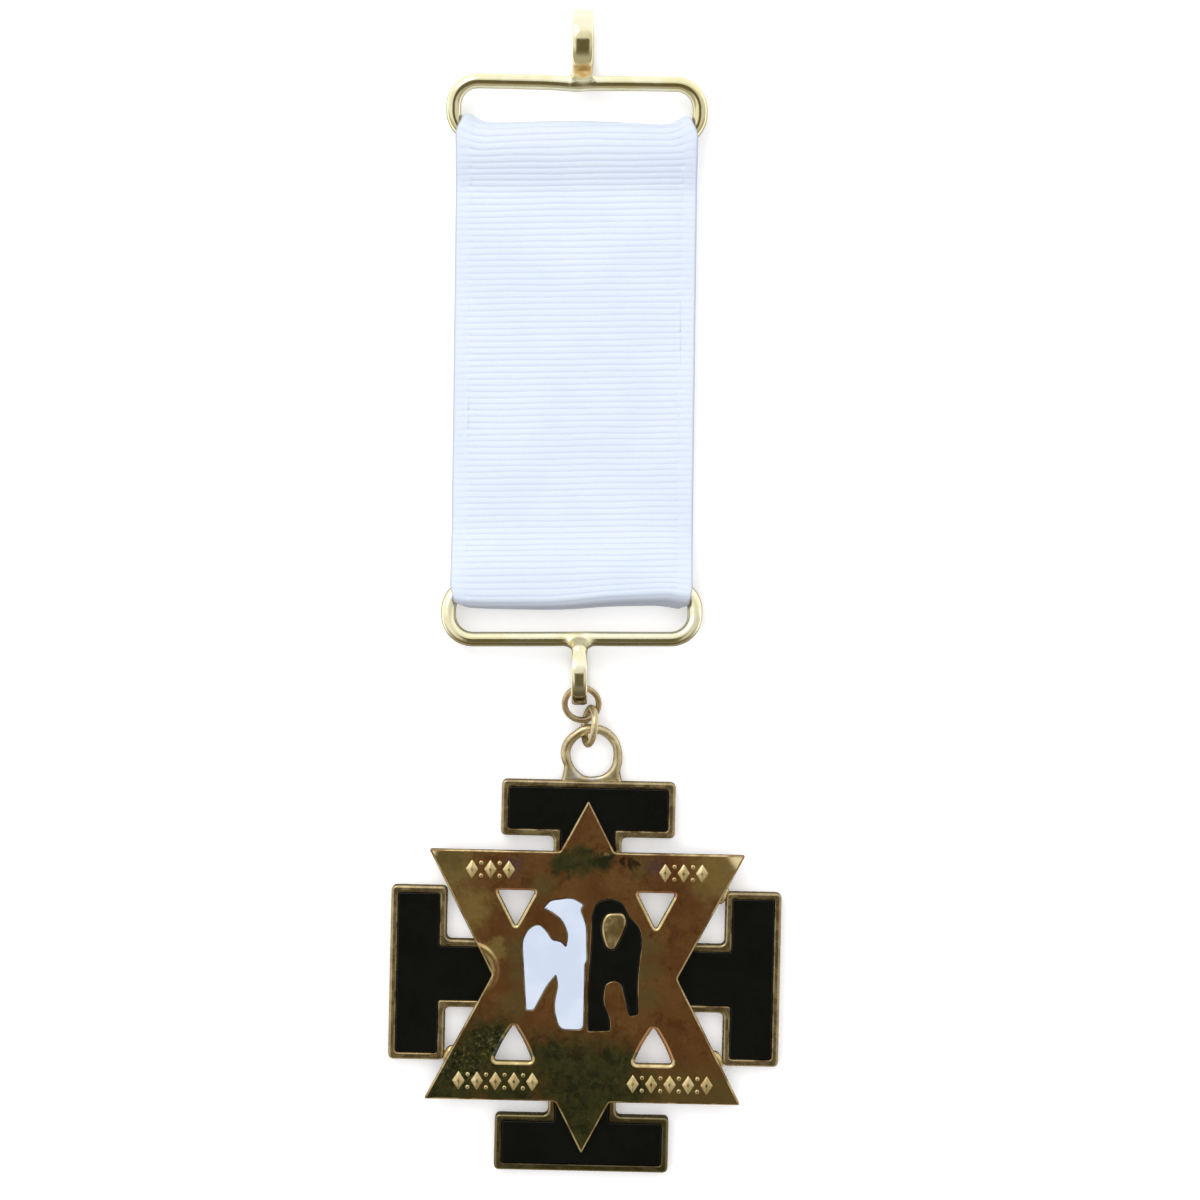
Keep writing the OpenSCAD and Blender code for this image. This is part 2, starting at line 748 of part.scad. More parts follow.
upper_frame();
ribbon();
lower_frame();
jump_ring_upper();
jump_ring_lower();
cross();
enamel_top();
enamel_right();
enamel_bottom();
enamel_left();
eagle_white();
eagle_black();
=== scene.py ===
"""Looks of a breast jewel that lies on its back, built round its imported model."""
import math
from math import cos, pi, radians, sin

import bpy
import bmesh
import numpy as np
from mathutils import Matrix, Vector, noise
from mathutils.geometry import tessellate_polygon


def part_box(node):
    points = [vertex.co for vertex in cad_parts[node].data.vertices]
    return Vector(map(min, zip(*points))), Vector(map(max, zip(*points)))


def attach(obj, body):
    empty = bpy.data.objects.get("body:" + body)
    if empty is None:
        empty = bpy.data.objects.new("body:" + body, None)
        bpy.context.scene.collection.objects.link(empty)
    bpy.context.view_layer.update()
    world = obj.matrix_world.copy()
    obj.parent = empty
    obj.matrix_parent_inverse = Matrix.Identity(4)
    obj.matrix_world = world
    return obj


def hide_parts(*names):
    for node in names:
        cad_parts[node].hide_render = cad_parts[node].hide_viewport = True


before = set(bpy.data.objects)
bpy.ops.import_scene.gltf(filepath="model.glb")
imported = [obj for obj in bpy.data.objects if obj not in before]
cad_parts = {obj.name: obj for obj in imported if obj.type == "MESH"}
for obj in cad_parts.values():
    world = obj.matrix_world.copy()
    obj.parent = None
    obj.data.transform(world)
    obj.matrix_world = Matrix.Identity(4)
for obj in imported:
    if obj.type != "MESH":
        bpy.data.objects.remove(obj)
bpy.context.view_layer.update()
MM = 0.001
NOISE_SEED = 4

# Sizes of the solids, in millimetres, and their angles
RIBBON_W = 38
RIBBON_L = 76.5
LAYER_T = 1
LAYER_GAP = 0.3
MOUTH_L = 9
FOLD_PLAY = 0.3
UPPER_PULL = 1.5
LOWER_PULL = 1.7
RIBBON_LEAN = radians(0.7)
WIRE_D = 2.36
WIRE_R = WIRE_D / 2
FRAME_OVER = 3.1
FRAME_H = 10.9
CORNER_R = 3.85
LOWER_SLACK = 1.45
UPPER_TURN = radians(-1)
BAIL_D = 10.7
BAIL_T = 1.1
BAIL_W = 3.3
BAIL_OFF = 0.8
DROP_D = 9.7
DROP_T = 1
DROP_W = 2.5
DROP_OFF = 1.2
SOLDER_SINK = 0.45
CROSS_SPAN = 61.5
CROSS_T = 2.5
ARM_BAR_L = 27.4
ARM_BAR_D = 8.8
STEM_W = 10.7
BORDER_W = 1.1
ENAMEL_D = 0.6
ENAMEL_LOW = 0.12
ENAMEL_GAP = 0.06
CROSS_TURN = radians(-1.25)
EYE_D = 9.7
EYE_WIRE = 1.5
EYE_OFF = 0.4
EYE_SINK = 0.75
EYE_SLOPE = radians(6)
EYE_FOOT = 9.6
EYE_FOOT_T = 1.05
STAR_T = 1.2
STAR_REACH = 27.8
STAR_HALF_W = 24.9
STAR_SHOULDER = 19.65
BAND_H = 6.25
BAND_W = 7.6
WINDOW_RIM = 0.45
WINDOW_SWELL = 0.3
EAGLE_H = 21
EAGLE_UP = 1.95
EAGLE_D = 0.5
LOZENGE_H = 3
LOZENGE_W = 2
LOZENGE_PITCH = 2.9
STUD_D = 0.7
RELIEF = 0.25
FACE_Z = CROSS_T + STAR_T


def centre_of(*nodes):
    """Middle of the nodes' boxes, averaged, in millimetres."""
    corners = [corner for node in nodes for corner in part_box(node)]
    return sum(corners, Vector()) / len(corners) / MM


def move(x, y, z):
    return Matrix.Translation((x, y, z))


def turn(angle, axis):
    return Matrix.Rotation(angle, 4, axis)


# Places, in millimetres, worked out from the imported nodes
FRAME_REACH = FRAME_H - WIRE_D
FRAME_HALF_W = (RIBBON_W + FRAME_OVER - WIRE_D) / 2
BAR_Z = LAYER_T + FOLD_PLAY / 2 + WIRE_R
BAIL_ARM = FRAME_REACH + WIRE_R + BAIL_D / 2 - SOLDER_SINK
DROP_ARM = FRAME_REACH + WIRE_R + DROP_D / 2 - SOLDER_SINK
UPPER_TILT = math.asin((BAIL_D / 2 - BAR_Z) / BAIL_ARM)
LOWER_TILT = math.asin((DROP_D / 2 - BAR_Z) / DROP_ARM)
UPPER_BAR = Vector((
    centre_of("upper_frame").x - FRAME_REACH / 2 * sin(-UPPER_TURN),
    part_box("upper_frame")[1].y / MM - BAIL_D / 2 - BAIL_ARM * cos(UPPER_TILT),
    BAR_Z,
))
LOWER_BAR = Vector((
    centre_of("lower_frame").x,
    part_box("lower_frame")[0].y / MM + DROP_D / 2 + DROP_ARM * cos(LOWER_TILT),
    BAR_Z,
))
UPPER_PLACE = move(*UPPER_BAR) @ turn(UPPER_TURN, "Z") @ turn(UPPER_TILT, "X")
LOWER_PLACE = move(*LOWER_BAR) @ turn(pi, "Z") @ turn(LOWER_TILT, "X")
# How far the ribbon's fold reaches past the middle of the upper bar, before its own thickness
FOLD_REACH = 1.1 * WIRE_R
RIBBON_TOP = Vector((
    centre_of("ribbon").x + RIBBON_L / 2 * sin(RIBBON_LEAN),
    UPPER_BAR.y + FOLD_REACH + LAYER_T,
    0,
))
CROSS_CENTRE = centre_of("enamel_top", "enamel_bottom")
CROSS_PLACE = move(CROSS_CENTRE.x, CROSS_CENTRE.y, 0) @ turn(CROSS_TURN, "Z")

# Where the bail's foot has a painted orange reflection of the bar, and the middles of the dull solder
WELD = UPPER_PLACE @ Vector((BAIL_OFF, FRAME_REACH + WIRE_R + 0.8, 3.4))
UPPER_SOLDER = UPPER_PLACE @ Vector((BAIL_OFF, FRAME_REACH + 2.2, 2.2))
LOWER_SOLDER = LOWER_PLACE @ Vector((-DROP_OFF, FRAME_REACH + 0.6, 1.2))
EYE_SOLDER = CROSS_PLACE @ Vector((EYE_OFF - 1, CROSS_SPAN / 2 + 0.4, CROSS_T / 2))


# Colours and node trees

def rgb(red, green, blue):
    """A colour given in the usual 0 to 255 steps, as linear light with alpha."""
    def linear(value):
        share = value / 255
        return share / 12.92 if share <= 0.04045 else ((share + 0.055) / 1.055) ** 2.4
    return (linear(red), linear(green), linear(blue), 1)


def on_face(x, y):
    """A place on the star's face, in millimetres, from its distances across and up from the middle."""
    return CROSS_PLACE @ Vector((x, y, FACE_Z))


class Tree:
    """The nodes of a material or world, with short names for the ones used here."""

    def __init__(self, owner, place="Object"):
        owner.use_nodes = True
        self.owner = owner
        self.nodes = owner.node_tree.nodes
        self.links = owner.node_tree.links
        self.place = self.nodes.new("ShaderNodeTexCoord").outputs[place]

    def feed(self, socket, value):
        if isinstance(value, bpy.types.NodeSocket):
            self.links.new(value, socket)
        else:
            socket.default_value = value

    def add(self, kind, inputs, **settings):
        """A new node's outputs. Its inputs are given by name or number."""
        node = self.nodes.new(kind)
        for name, value in settings.items():
            setattr(node, name, value)
        for key, value in inputs.items():
            self.feed(node.inputs[key], value)
        return node.outputs

    def noise(self, size, detail=2, roughness=0.5, distortion=0, vector=None, output="Fac"):
        """Noise whose lumps are about size millimetres across."""
        inputs = {
            "Vector": vector or self.place, "Scale": 1 / (size * MM), "Detail": detail,
            "Roughness": roughness, "Distortion": distortion,
        }
        return self.add("ShaderNodeTexNoise", inputs)[output]

    def stretched(self, x, y, z):
        """The place scaled along each axis."""
        return self.add("ShaderNodeMapping", {"Vector": self.place, "Scale": (x, y, z)})["Vector"]

    def span(self, value, low, high, to_low=0.0, to_high=1.0):
        """Value mapped smoothly from one range to another, and clamped."""
        inputs = {0: value, 1: low, 2: high, 3: to_low, 4: to_high}
        return self.add("ShaderNodeMapRange", inputs, interpolation_type="SMOOTHSTEP")["Result"]

    def math(self, operation, a, b=0.0):
        return self.add("ShaderNodeMath", {0: a, 1: b}, operation=operation)[0]

    def times(self, a, b):
        return self.math("MULTIPLY", a, b)

    def mix(self, share, a, b):
        return self.add("ShaderNodeMix", {0: share, 6: a, 7: b}, data_type="RGBA")[2]

    def cover(self, under, over, value, low, high, most=1.0):
        """One colour spread over another, up to most, where value grows from low to high."""
        return self.mix(self.span(value, low, high, 0, most), under, over)

    def lay(self, under, over, where, share=1.0):
        """One colour laid over a share of another where the mask is."""
        return self.mix(self.times(where, share), under, over)

    def attribute(self, name):
        return self.add("ShaderNodeAttribute", {}, attribute_name=name)["Fac"]

    def part(self, vector, axis):
        return self.add("ShaderNodeSeparateXYZ", {0: vector})[axis]

    def vector(self, operation, a, b):
        second = "Scale" if operation == "SCALE" else 1
        outputs = self.add("ShaderNodeVectorMath", {0: a, second: b}, operation=operation)
        return outputs["Value" if operation in ("DISTANCE", "DOT_PRODUCT") else "Vector"]

    def wander(self, size, amount):
        """The place, moved by noise by up to about amount millimetres."""
        shift = self.vector("SUBTRACT", self.noise(size, 4, 0.6, output="Color"), (0.5, 0.5, 0.5))
        return self.vector("ADD", self.place, self.vector("SCALE", shift, 4 * amount * MM))

    def distance(self, place, start=None):
        """Metres from a place given in millimetres."""
        return self.vector("DISTANCE", start or self.place, place * MM)

    def around(self, place, inner, outer, most=1.0, start=None):
        """Most within inner millimetres of a place, and 0 past outer."""
        return self.span(self.distance(place, start), inner * MM, outer * MM, most, 0)

    def past(self, x, y, angle):
        """Metres past a place on the star's face, in a direction in degrees from its right."""
        way = Vector((cos(radians(angle)), sin(radians(angle)), 0))
        from_place = self.vector("SUBTRACT", self.place, on_face(x, y) * MM)
        return self.vector("DOT_PRODUCT", from_place, CROSS_PLACE.to_3x3() @ way)

    def near(self, places, start):
        """1 at the places on the star's face, each given as x, y and reach, and 0 past their reach."""
        most = 0.0
        for x, y, reach in places:
            most = self.math("MAXIMUM", most, self.around(on_face(x, y), 0.3 * reach, reach, 1, start))
        return most

    def bump(self, height, depth, strength=1.0, under=None):
        """A bump whose full height is depth millimetres."""
        inputs = {"Strength": strength, "Distance": depth * MM, "Height": height}
        if under is not None:
            inputs["Normal"] = under
        return self.add("ShaderNodeBump", inputs)["Normal"]

    def finish(self, **sockets):
        """Feed the shader's sockets, named with _ for a space, and give back the material."""
        shader = self.nodes["Principled BSDF"]
        for name, value in sockets.items():
            self.feed(shader.inputs[name.replace("_", " ")], value)
        return self.owner

    def metal(self, colour, roughness, normal):
        return self.finish(Base_Color=colour, Metallic=1.0, Roughness=roughness, Normal=normal)


def material(name):
    return Tree(bpy.data.materials.new(name))


# Looks of the metal

# Painted orange reflection of the bar, laid on the bail's foot
BAR_REFLECTION_TINT = rgb(236, 180, 72)
# Painted shade for the lower frame's faces that point down the jewel
UNDERSIDE_SHADE_TINT = rgb(98, 78, 28)
SOLDER_TINT = rgb(206, 204, 204)
# How much rougher the gilt is on the solder
SOLDER_DULL = 0.32
# How far below the cross's middle the border starts to darken, in millimetres
DARK_FOOT = 20


def gilt_wire(name, underside_shade):
    """Pale gilt wire. Painted shade darkens what faces down the jewel, on the lower frame only."""
    tree = material(name)
    specks = tree.noise(0.5, 4, 0.6)
    colour = tree.cover(rgb(240, 228, 178), rgb(246, 240, 204), tree.noise(7, 3), 0.35, 0.65)
    colour = tree.cover(colour, rgb(200, 182, 118), specks, 0.6, 0.8, 0.4)
    if underside_shade:
        # Painted shade, standing in for the dark reflection on what faces down the jewel
        facing = tree.part(tree.add("ShaderNodeNewGeometry", {})["Normal"], "Y")
        colour = tree.mix(tree.span(facing, -0.62, -0.2, underside_shade, 0), colour, UNDERSIDE_SHADE_TINT)
    mottle = tree.noise(1.1, 3, 0.6)
    # A painted orange reflection of the bar, in patches round the bail's foot
    bar_reflection = tree.around(WELD, 0.6, 2.3)
    colour = tree.lay(colour, BAR_REFLECTION_TINT, bar_reflection, tree.span(mottle, 0.3, 0.55, 0.45, 1))
    waves = tree.bump(mottle, 0.022, 0.6, tree.bump(tree.noise(3.4, 2), 0.05, 0.6))
    scratches = tree.bump(tree.noise(0.3, 3, 0.6, 0, tree.stretched(0.25, 1, 1)), 0.004, 0.6, waves)
    roughness = tree.span(specks, 0.3, 0.8, 0.08, 0.2)
    for solder in (UPPER_SOLDER, LOWER_SOLDER):
        roughness = tree.math("ADD", roughness, tree.around(solder, 1.7, 3.2, SOLDER_DULL))
    return tree.metal(colour, roughness, scratches)


def ring_brass(name, low, high, dark, solder=None):
    """Rubbed brass. Round the solder's place it is pale and greyish in patches."""
    tree = material(name)
    lumps = tree.noise(1.6, 3, 0.6)
    colour = tree.cover(low, high, lumps, 0.35, 0.7)
    colour = tree.cover(colour, dark, tree.noise(0.28, 4, 0.6), 0.5, 0.75, 0.6)
    if solder is not None:
        patches = tree.span(lumps, 0.4, 0.6, 0.1, 0.8)
        colour = tree.lay(colour, SOLDER_TINT, tree.around(solder, 1.6, 3.6), patches)
    waves = tree.bump(tree.noise(0.9, 3), 0.03, 0.7)
    return tree.metal(colour, tree.span(lumps, 0.3, 0.8, 0.3, 0.46), waves)


def worn_edge(name, low, high, dark, patch=2.4, foot=None):
    """Gilt worn bright in patches, for rims and raised work. A foot colour is for the bottom arm's end."""
    tree = material(name)
    lumps = tree.noise(patch, 3, 0.6)
    colour = tree.cover(low, high, lumps, 0.35, 0.65)
    colour = tree.cover(colour, dark, tree.noise(0.4, 4, 0.6), 0.56, 0.8, 0.5)
    if foot:
        colour = tree.cover(colour, foot, tree.past(0, -DARK_FOOT, -90), 0, 3 * MM, 0.8)
    waves = tree.bump(tree.noise(1.3, 3), 0.02, 0.6)
    return tree.metal(colour, tree.span(lumps, 0.3, 0.7, 0.2, 0.32), waves)


# Marks on the star's face, in millimetres from its middle: across, up and reach
OLIVE_PATCHES = [
    (0, -17, 12), (-5, -13, 6), (5, -14, 6), (3, -19, 8), (0, -24, 10), (0, -28, 9), (-15, -12, 8.5),
    (-20, -16, 9), (-11, -17, 8), (-24, -19, 5), (8, -18, 5), (-3.4, 17.9, 3.2), (-0.6, 18.2, 3.4),
    (2.4, 18.4, 2.6),
]
SHADE_PATCHES = [
    (-10.8, 4, 3.2), (-10.4, 0, 3.2), (-10.8, -4, 3.2), (9.8, 5, 3), (9.6, 1, 3), (9.8, -3, 2.8),
    (16, -18.5, 7), (22, -18.5, 6), (12, -18.5, 6), (-7, 14, 3), (8, 17.6, 2.6), (-22, 18.5, 4),
]
# Yellower gilt, partly a painted highlight where the upper corners and the left waist catch the light
YELLOW_AND_LIT_PATCHES = [(-22, 17, 6), (-18, 10.5, 5), (21, 17, 7), (-14.5, 4, 3)]
SPECK_PATCHES = [(-19, -14, 5), (-14.5, -11, 4)]
VIOLET_PATCHES = [(-11.2, 17, 2.2), (11.4, 17.6, 2.4)]
DARK_SPOTS = [(10.7, 7.2, 0.7), (13.2, 2.2, 0.45), (-12.8, 1.2, 0.4), (7.2, 17.8, 1.4), (5.4, 18.2, 1)]
# Painted highlights where the star's upper tips and a small pit catch the light
PAINTED_HIGHLIGHT_TIPS = [(24.4, 18.9, 3.2), (-24.4, 19.2, 1.8), (2.6, 19.7, 0.9)]
# A ridge in an arc at the left waist, with a painted highlight along it and painted shade inside it: the
# arc's middle and radius
WAIST_RIDGE = (-17.9, 0.6, 3.9)
# Where the face bends away: a place, the direction in degrees, how far before and past it, and the fall
BENDS = [(24.9, 19.65, 36, 3.2, 1.2, 0.6), (-24.9, 19.65, 148, 1.7, 1.2, 0.36)]


def browned_gilt(tree, mottle, blotches, specks, ragged):
    colour = tree.cover(rgb(204, 148, 104), rgb(226, 174, 122), tree.noise(6.5, 2, 0.5, 0.4), 0.32, 0.68)
    colour = tree.cover(colour, rgb(196, 168, 122), mottle, 0.55, 0.85, 0.35)
    colour = tree.cover(colour, rgb(168, 112, 80), blotches, 0.5, 0.68, 0.6)
    colour = tree.cover(colour, rgb(150, 112, 74), specks, 0.5, 0.75, 0.35)
    # Yellower gilt, partly painted highlight
    colour = tree.lay(colour, rgb(255, 225, 160), tree.near(YELLOW_AND_LIT_PATCHES, ragged))
    return tree.lay(colour, rgb(200, 182, 131), tree.near(SHADE_PATCHES, ragged), 0.75)


def olive_tarnish(tree, mottle, blotches):
    streaks = tree.noise(1.3, 4, 0.65, 0.5, tree.stretched(1.2, 0.75, 1))
    colour = tree.cover(rgb(113, 120, 84), rgb(144, 148, 106), streaks, 0.3, 0.75)
    colour = tree.cover(colour, rgb(172, 170, 128), mottle, 0.53, 0.74, 0.5)
    return tree.cover(colour, rgb(74, 86, 78), blotches, 0.48, 0.64, 0.7)


def face_marks(tree, colour, mottle, specks, ragged):
    """Specks, a violet tint, dark spots, and painted highlights and shade at the waist's ridge and the tips
    on the face.

    Gives the colour and the distance from the ridge."""
    speckled = tree.near(SPECK_PATCHES, ragged)
    colour = tree.lay(colour, rgb(52, 64, 58), speckled, tree.span(specks, 0.47, 0.4, 0, 0.8))
    colour = tree.lay(colour, rgb(226, 218, 176), speckled, tree.span(specks, 0.56, 0.64, 0, 0.8))
    colour = tree.lay(colour, rgb(150, 136, 190), tree.near(VIOLET_PATCHES, ragged), 0.4)
    x, y, reach = WAIST_RIDGE
    from_middle = tree.distance(on_face(x, y))
    from_ridge = tree.math("ABSOLUTE", tree.math("SUBTRACT", from_middle, reach * MM))
    # Painted shade inside the arc, where the face slopes down to the waist
    inside = tree.span(from_middle, (reach - 0.6) * MM, reach * MM, 0.6, 0)
    colour = tree.mix(inside, colour, rgb(150, 146, 92))
    # Painted highlight along the ridge
    ridge_highlight = tree.span(from_ridge, 0.05 * MM, 0.45 * MM, 1, 0)
    colour = tree.lay(colour, rgb(250, 216, 146), ridge_highlight, tree.span(mottle, 0.3, 0.6, 0.3, 0.9))
    colour = tree.lay(colour, rgb(70, 44, 30), tree.near(DARK_SPOTS, ragged), 0.8)
    # Painted highlights at the tips and the small pit
    bright = tree.near(PAINTED_HIGHLIGHT_TIPS, ragged)
    colour = tree.lay(colour, rgb(255, 240, 186), bright, tree.span(mottle, 0.3, 0.55, 0.5, 1))
    return colour, from_ridge


def aged_face():
    """The gilt face of the star, browned with age, with dark olive tarnish towards its foot."""
    tree = material("aged_face")
    mottle = tree.noise(1.7, 4, 0.6, 0.6)
    blotches = tree.noise(2.4, 4, 0.65, 0.8)
    specks = tree.noise(0.55, 3, 0.6)
    ragged = tree.wander(2.2, 1.3)
    brown = browned_gilt(tree, mottle, blotches, specks, ragged)
    colour = tree.lay(brown, olive_tarnish(tree, mottle, blotches), tree.near(OLIVE_PATCHES, ragged))
    colour, from_ridge = face_marks(tree, colour, mottle, specks, ragged)
    normal = tree.bump(tree.noise(5, 2), 0.05, 0.6)
    for x, y, angle, before, after, fall in BENDS:
        height = tree.span(tree.past(x, y, angle), -before * MM, after * MM, 1, 0)
        normal = tree.bump(height, fall, 1.0, normal)
    normal = tree.bump(tree.span(from_ridge, 0.0, 0.9 * MM, 1, 0), 0.09, 1.0, normal)
    pits = tree.bump(mottle, 0.006, 0.5, normal)
    return tree.metal(colour, tree.span(tree.noise(0.4, 3, 0.6), 0.25, 0.8, 0.12, 0.2), pits)


# Looks of the enamel, cloth and floor

THREAD_PITCH = 0.3
FLOOR_GLOW = 0.22
# How near the metal the floor looks dark in it, and from where it looks pale, in millimetres
CONTACT_NEAR = 2.5
CONTACT_FAR = 9


def enamel(name, low, high):
    tree = material(name)
    pores = tree.noise(0.7, 3, 0.6)
    waves = tree.bump(tree.noise(3.2, 2), 0.06, 0.5)
    return tree.finish(
        Base_Color=tree.cover(low, high, tree.noise(5, 3), 0.35, 0.65),
        Roughness=tree.span(pores, 0.3, 0.8, 0.1, 0.2),
        Normal=tree.bump(pores, 0.006, 0.5, waves),
        Specular_IOR_Level=0.35,
    )


def ribbon_cloth():
    """Ribbed silk: fine threads run along the ribbon over the ribs, and the grooves are painted a little
    darker as shade.
    """
    tree = material("ribbon_cloth")
    across = tree.attribute("across_mm")
    along = tree.attribute("along_mm")
    fuzz = tree.noise(0.5, 4, 0.7)
    colour = tree.cover(rgb(218, 228, 243), rgb(222, 231, 244), tree.noise(11, 2), 0.35, 0.65)
    # Painted shade in the grooves between the ribs
    shade = tree.math("ADD", tree.attribute("rib"), tree.times(tree.math("SUBTRACT", fuzz, 0.5), 0.7))
    colour = tree.mix(tree.span(shade, 0.0, 0.8, 0.5, 0), colour, rgb(188, 199, 224))
    # Painted shade under the turned fold at the foot and along the edges
    colour = tree.mix(tree.attribute("fold"), colour, rgb(146, 149, 162))
    threads = tree.math("SINE", tree.times(across, 2 * pi / THREAD_PITCH))
    weave = tree.bump(threads, 0.012, 0.2)
    flat = tree.add("ShaderNodeCombineXYZ", {0: tree.times(across, 0.35), 1: tree.times(along, 2.2)})[0]
    slubs = tree.add("ShaderNodeTexNoise", {"Vector": flat, "Scale": 1.0}, noise_dimensions="2D")["Fac"]
    return tree.finish(
        Base_Color=colour,
        Roughness=tree.span(fuzz, 0.3, 0.7, 0.62, 0.78),
        Normal=tree.bump(slubs, 0.05, 0.6, weave),
        Sheen_Weight=0.25,
        Sheen_Roughness=0.4,
        Specular_IOR_Level=0.3,
    )


def thread():
    tree = material("thread")
    twist = tree.noise(0.16, 2, 0.5, 0, tree.stretched(1, 1.6, 1))
    colour = tree.cover(rgb(214, 224, 240), rgb(222, 231, 244), twist, 0.35, 0.65)
    return tree.finish(Base_Color=colour, Roughness=0.7, Normal=tree.bump(twist, 0.03, 0.7), Sheen_Weight=0.2)


def floor_paint():
    """White paint with a faint glow, which looks dark in metal that nearly touches it."""
    tree = material("floor_paint")
    grain = tree.noise(1.2, 3, 0.6)
    rays = tree.add("ShaderNodeLightPath", {})
    close = tree.span(rays["Ray Length"], CONTACT_NEAR * MM, CONTACT_FAR * MM, 1, 0)
    mirrored = tree.times(rays["Is Glossy Ray"], close)
    colour = tree.cover(rgb(250, 249, 249), rgb(252, 251, 251), grain, 0.3, 0.7)
    return tree.finish(
        Base_Color=tree.mix(mirrored, colour, rgb(124, 120, 100)),
        Roughness=0.9,
        Normal=tree.bump(grain, 0.01, 0.3),
        Specular_IOR_Level=0.1,
        Emission_Color=tree.mix(mirrored, (1, 1, 1, 1), (0, 0, 0, 1)),
        Emission_Strength=FLOOR_GLOW,
    )


# Outlines, which run clockwise, in millimetres

HALF_SPAN = CROSS_SPAN / 2
BAR_Y = HALF_SPAN - ARM_BAR_D
HALF_STEM = STEM_W / 2
HALF_BAR = ARM_BAR_L / 2
ARM_CORNER = 0.9
FIELD_START = 0.6 * STAR_HALF_W * STAR_REACH / (STAR_REACH + STAR_SHOULDER)
FIELD_CORNER = 0.5
EDGE_SLOPE = STAR_HALF_W / (STAR_REACH + STAR_SHOULDER)
NOTCH_X = (STAR_REACH - STAR_SHOULDER) * EDGE_SLOPE
WAIST_X = STAR_REACH * EDGE_SLOPE
POINT_ROUND = 0.5
HOLLOW_ROUND = 0.4
WINDOW_CORNER = 0.6
# The eagle's halves and the gilt drop, as [across, up, rounding] in hundredths of its height
WHITE_HALF = [
    [-32, 41.5, 1], [-27, 47.5, 3], [-10.5, 50, 5], [-2, 45, 1.5], [-4, 40.5, 1.5], [0.5, 30, 6],
    [1.5, 3, 2], [0, 0.5, 1.5], [0, -49, 5], [-18, -49, 5], [-23, -33, 7], [-20, -16, 2.5],
    [-21.5, -8, 1.5], [-28.5, -17, 4], [-37.5, -35, 2], [-43.5, -35, 1.5], [-45.5, -9, 10],
    [-47.5, 17, 6], [-42.5, 26.5, 4], [-35, 30, 4], [-29.5, 25, 3], [-25, 18, 2],
    [-18.5, 17, 1.5], [-14.5, 13, 1], [-13, 22, 5], [-17.5, 33, 6], [-26, 39, 3],
]
BLACK_HALF = [
    [4.5, 39, 5], [8, 47.5, 6], [17, 50, 7], [26.5, 47.5, 6], [32, 36.5, 6], [40.5, 29, 5],
    [42.5, 17, 6], [39.5, -9, 14], [40.5, -36.5, 1.5], [34, -38, 2], [30, -23.5, 7],
    [27.5, -13.5, 4], [22, -11.5, 3], [15.5, -14, 4], [14, -28.5, 6], [19.5, -39, 5],
    [20, -49, 2], [3, -50, 2], [2.5, -16.5, 10], [4, 10, 8],
]
GILT_DROP = [
    [11.5, 31, 6], [15, 39, 5], [28.5, 39.5, 5], [31, 32.5, 4], [27, 21, 5], [21.5, 11, 4],
    [15.5, 12.5, 3], [12, 22, 7],
]


def rounded(rows, steps):
    """An outline of [x, y, rounding] rows with its corners curved, as a table of points."""
    points = []
    for i, row in enumerate(rows):
        corner = np.array(row[:2], float)
        before = np.array(rows[i - 1][:2], float) - corner
        after = np.array(rows[(i + 1) % len(rows)][:2], float) - corner
        back = min(row[2], 0.48 * np.linalg.norm(before), 0.48 * np.linalg.norm(after))
        if back < 0.02:
            points.append(corner)
            continue
        start = corner + back * before / np.linalg.norm(before)
        end = corner + back * after / np.linalg.norm(after)
        for t in np.linspace(0, 1, steps + 1):
            points.append((1 - t) ** 2 * start + 2 * t * (1 - t) * corner + t * t * end)
    return np.array(points)


def mirrored(half):
    """An outline's rows from those of its right half, given from the top down."""
    return [[-x, y, rounding] for x, y, rounding in half[::-1]] + half


def inset(points, depth):
    """The outline drawn in by depth all round."""
    def across(step):
        step = step / np.linalg.norm(step, axis=1)[:, None]
        return np.stack([step[:, 1], -step[:, 0]], 1)
    middle = across(points - np.roll(points, 1, 0)) + across(np.roll(points, -1, 0) - points)
    return points + middle * (2 * depth / (middle ** 2).sum(1))[:, None]


def on_arm(points, arm):
    """The top arm's points, turned clockwise by a number of quarter turns."""
    c, s = round(cos(arm * pi / 2)), round(sin(arm * pi / 2))
    return points @ np.array([[c, -s], [s, c]])


def cross_outline():
    corners = ((HALF_BAR, HALF_SPAN), (HALF_BAR, BAR_Y), (HALF_STEM, BAR_Y), (HALF_STEM, HALF_STEM))
    rows = np.array(mirrored([[x, y, ARM_CORNER] for x, y in corners])[:-1])
    arms = [np.column_stack([on_arm(rows[:, :2], arm), rows[:, 2]]) for arm in range(4)]
    return rounded(np.concatenate(arms), 6)


def field_outline(arm):
    """The enamel's field on one arm: the arm's outline drawn in by the border, and cut off under the star."""
    stem, bar = HALF_STEM - BORDER_W, HALF_BAR - BORDER_W
    corners = ((bar, HALF_SPAN - BORDER_W), (bar, BAR_Y + BORDER_W), (stem, BAR_Y + BORDER_W))
    right = [[x, y, FIELD_CORNER] for x, y in corners] + [[stem, FIELD_START, 0]]
    return on_arm(rounded(mirrored(right), 5), arm)


def star_outline():
    half = [
        [0, STAR_REACH, POINT_ROUND], [NOTCH_X, STAR_SHOULDER, HOLLOW_ROUND],
        [STAR_HALF_W, STAR_SHOULDER, POINT_ROUND], [WAIST_X, 0, HOLLOW_ROUND],
        [STAR_HALF_W, -STAR_SHOULDER, POINT_ROUND], [NOTCH_X, -STAR_SHOULDER, HOLLOW_ROUND],
    ]
    return rounded(half + [[-x, -y, r] for x, y, r in half], 5)


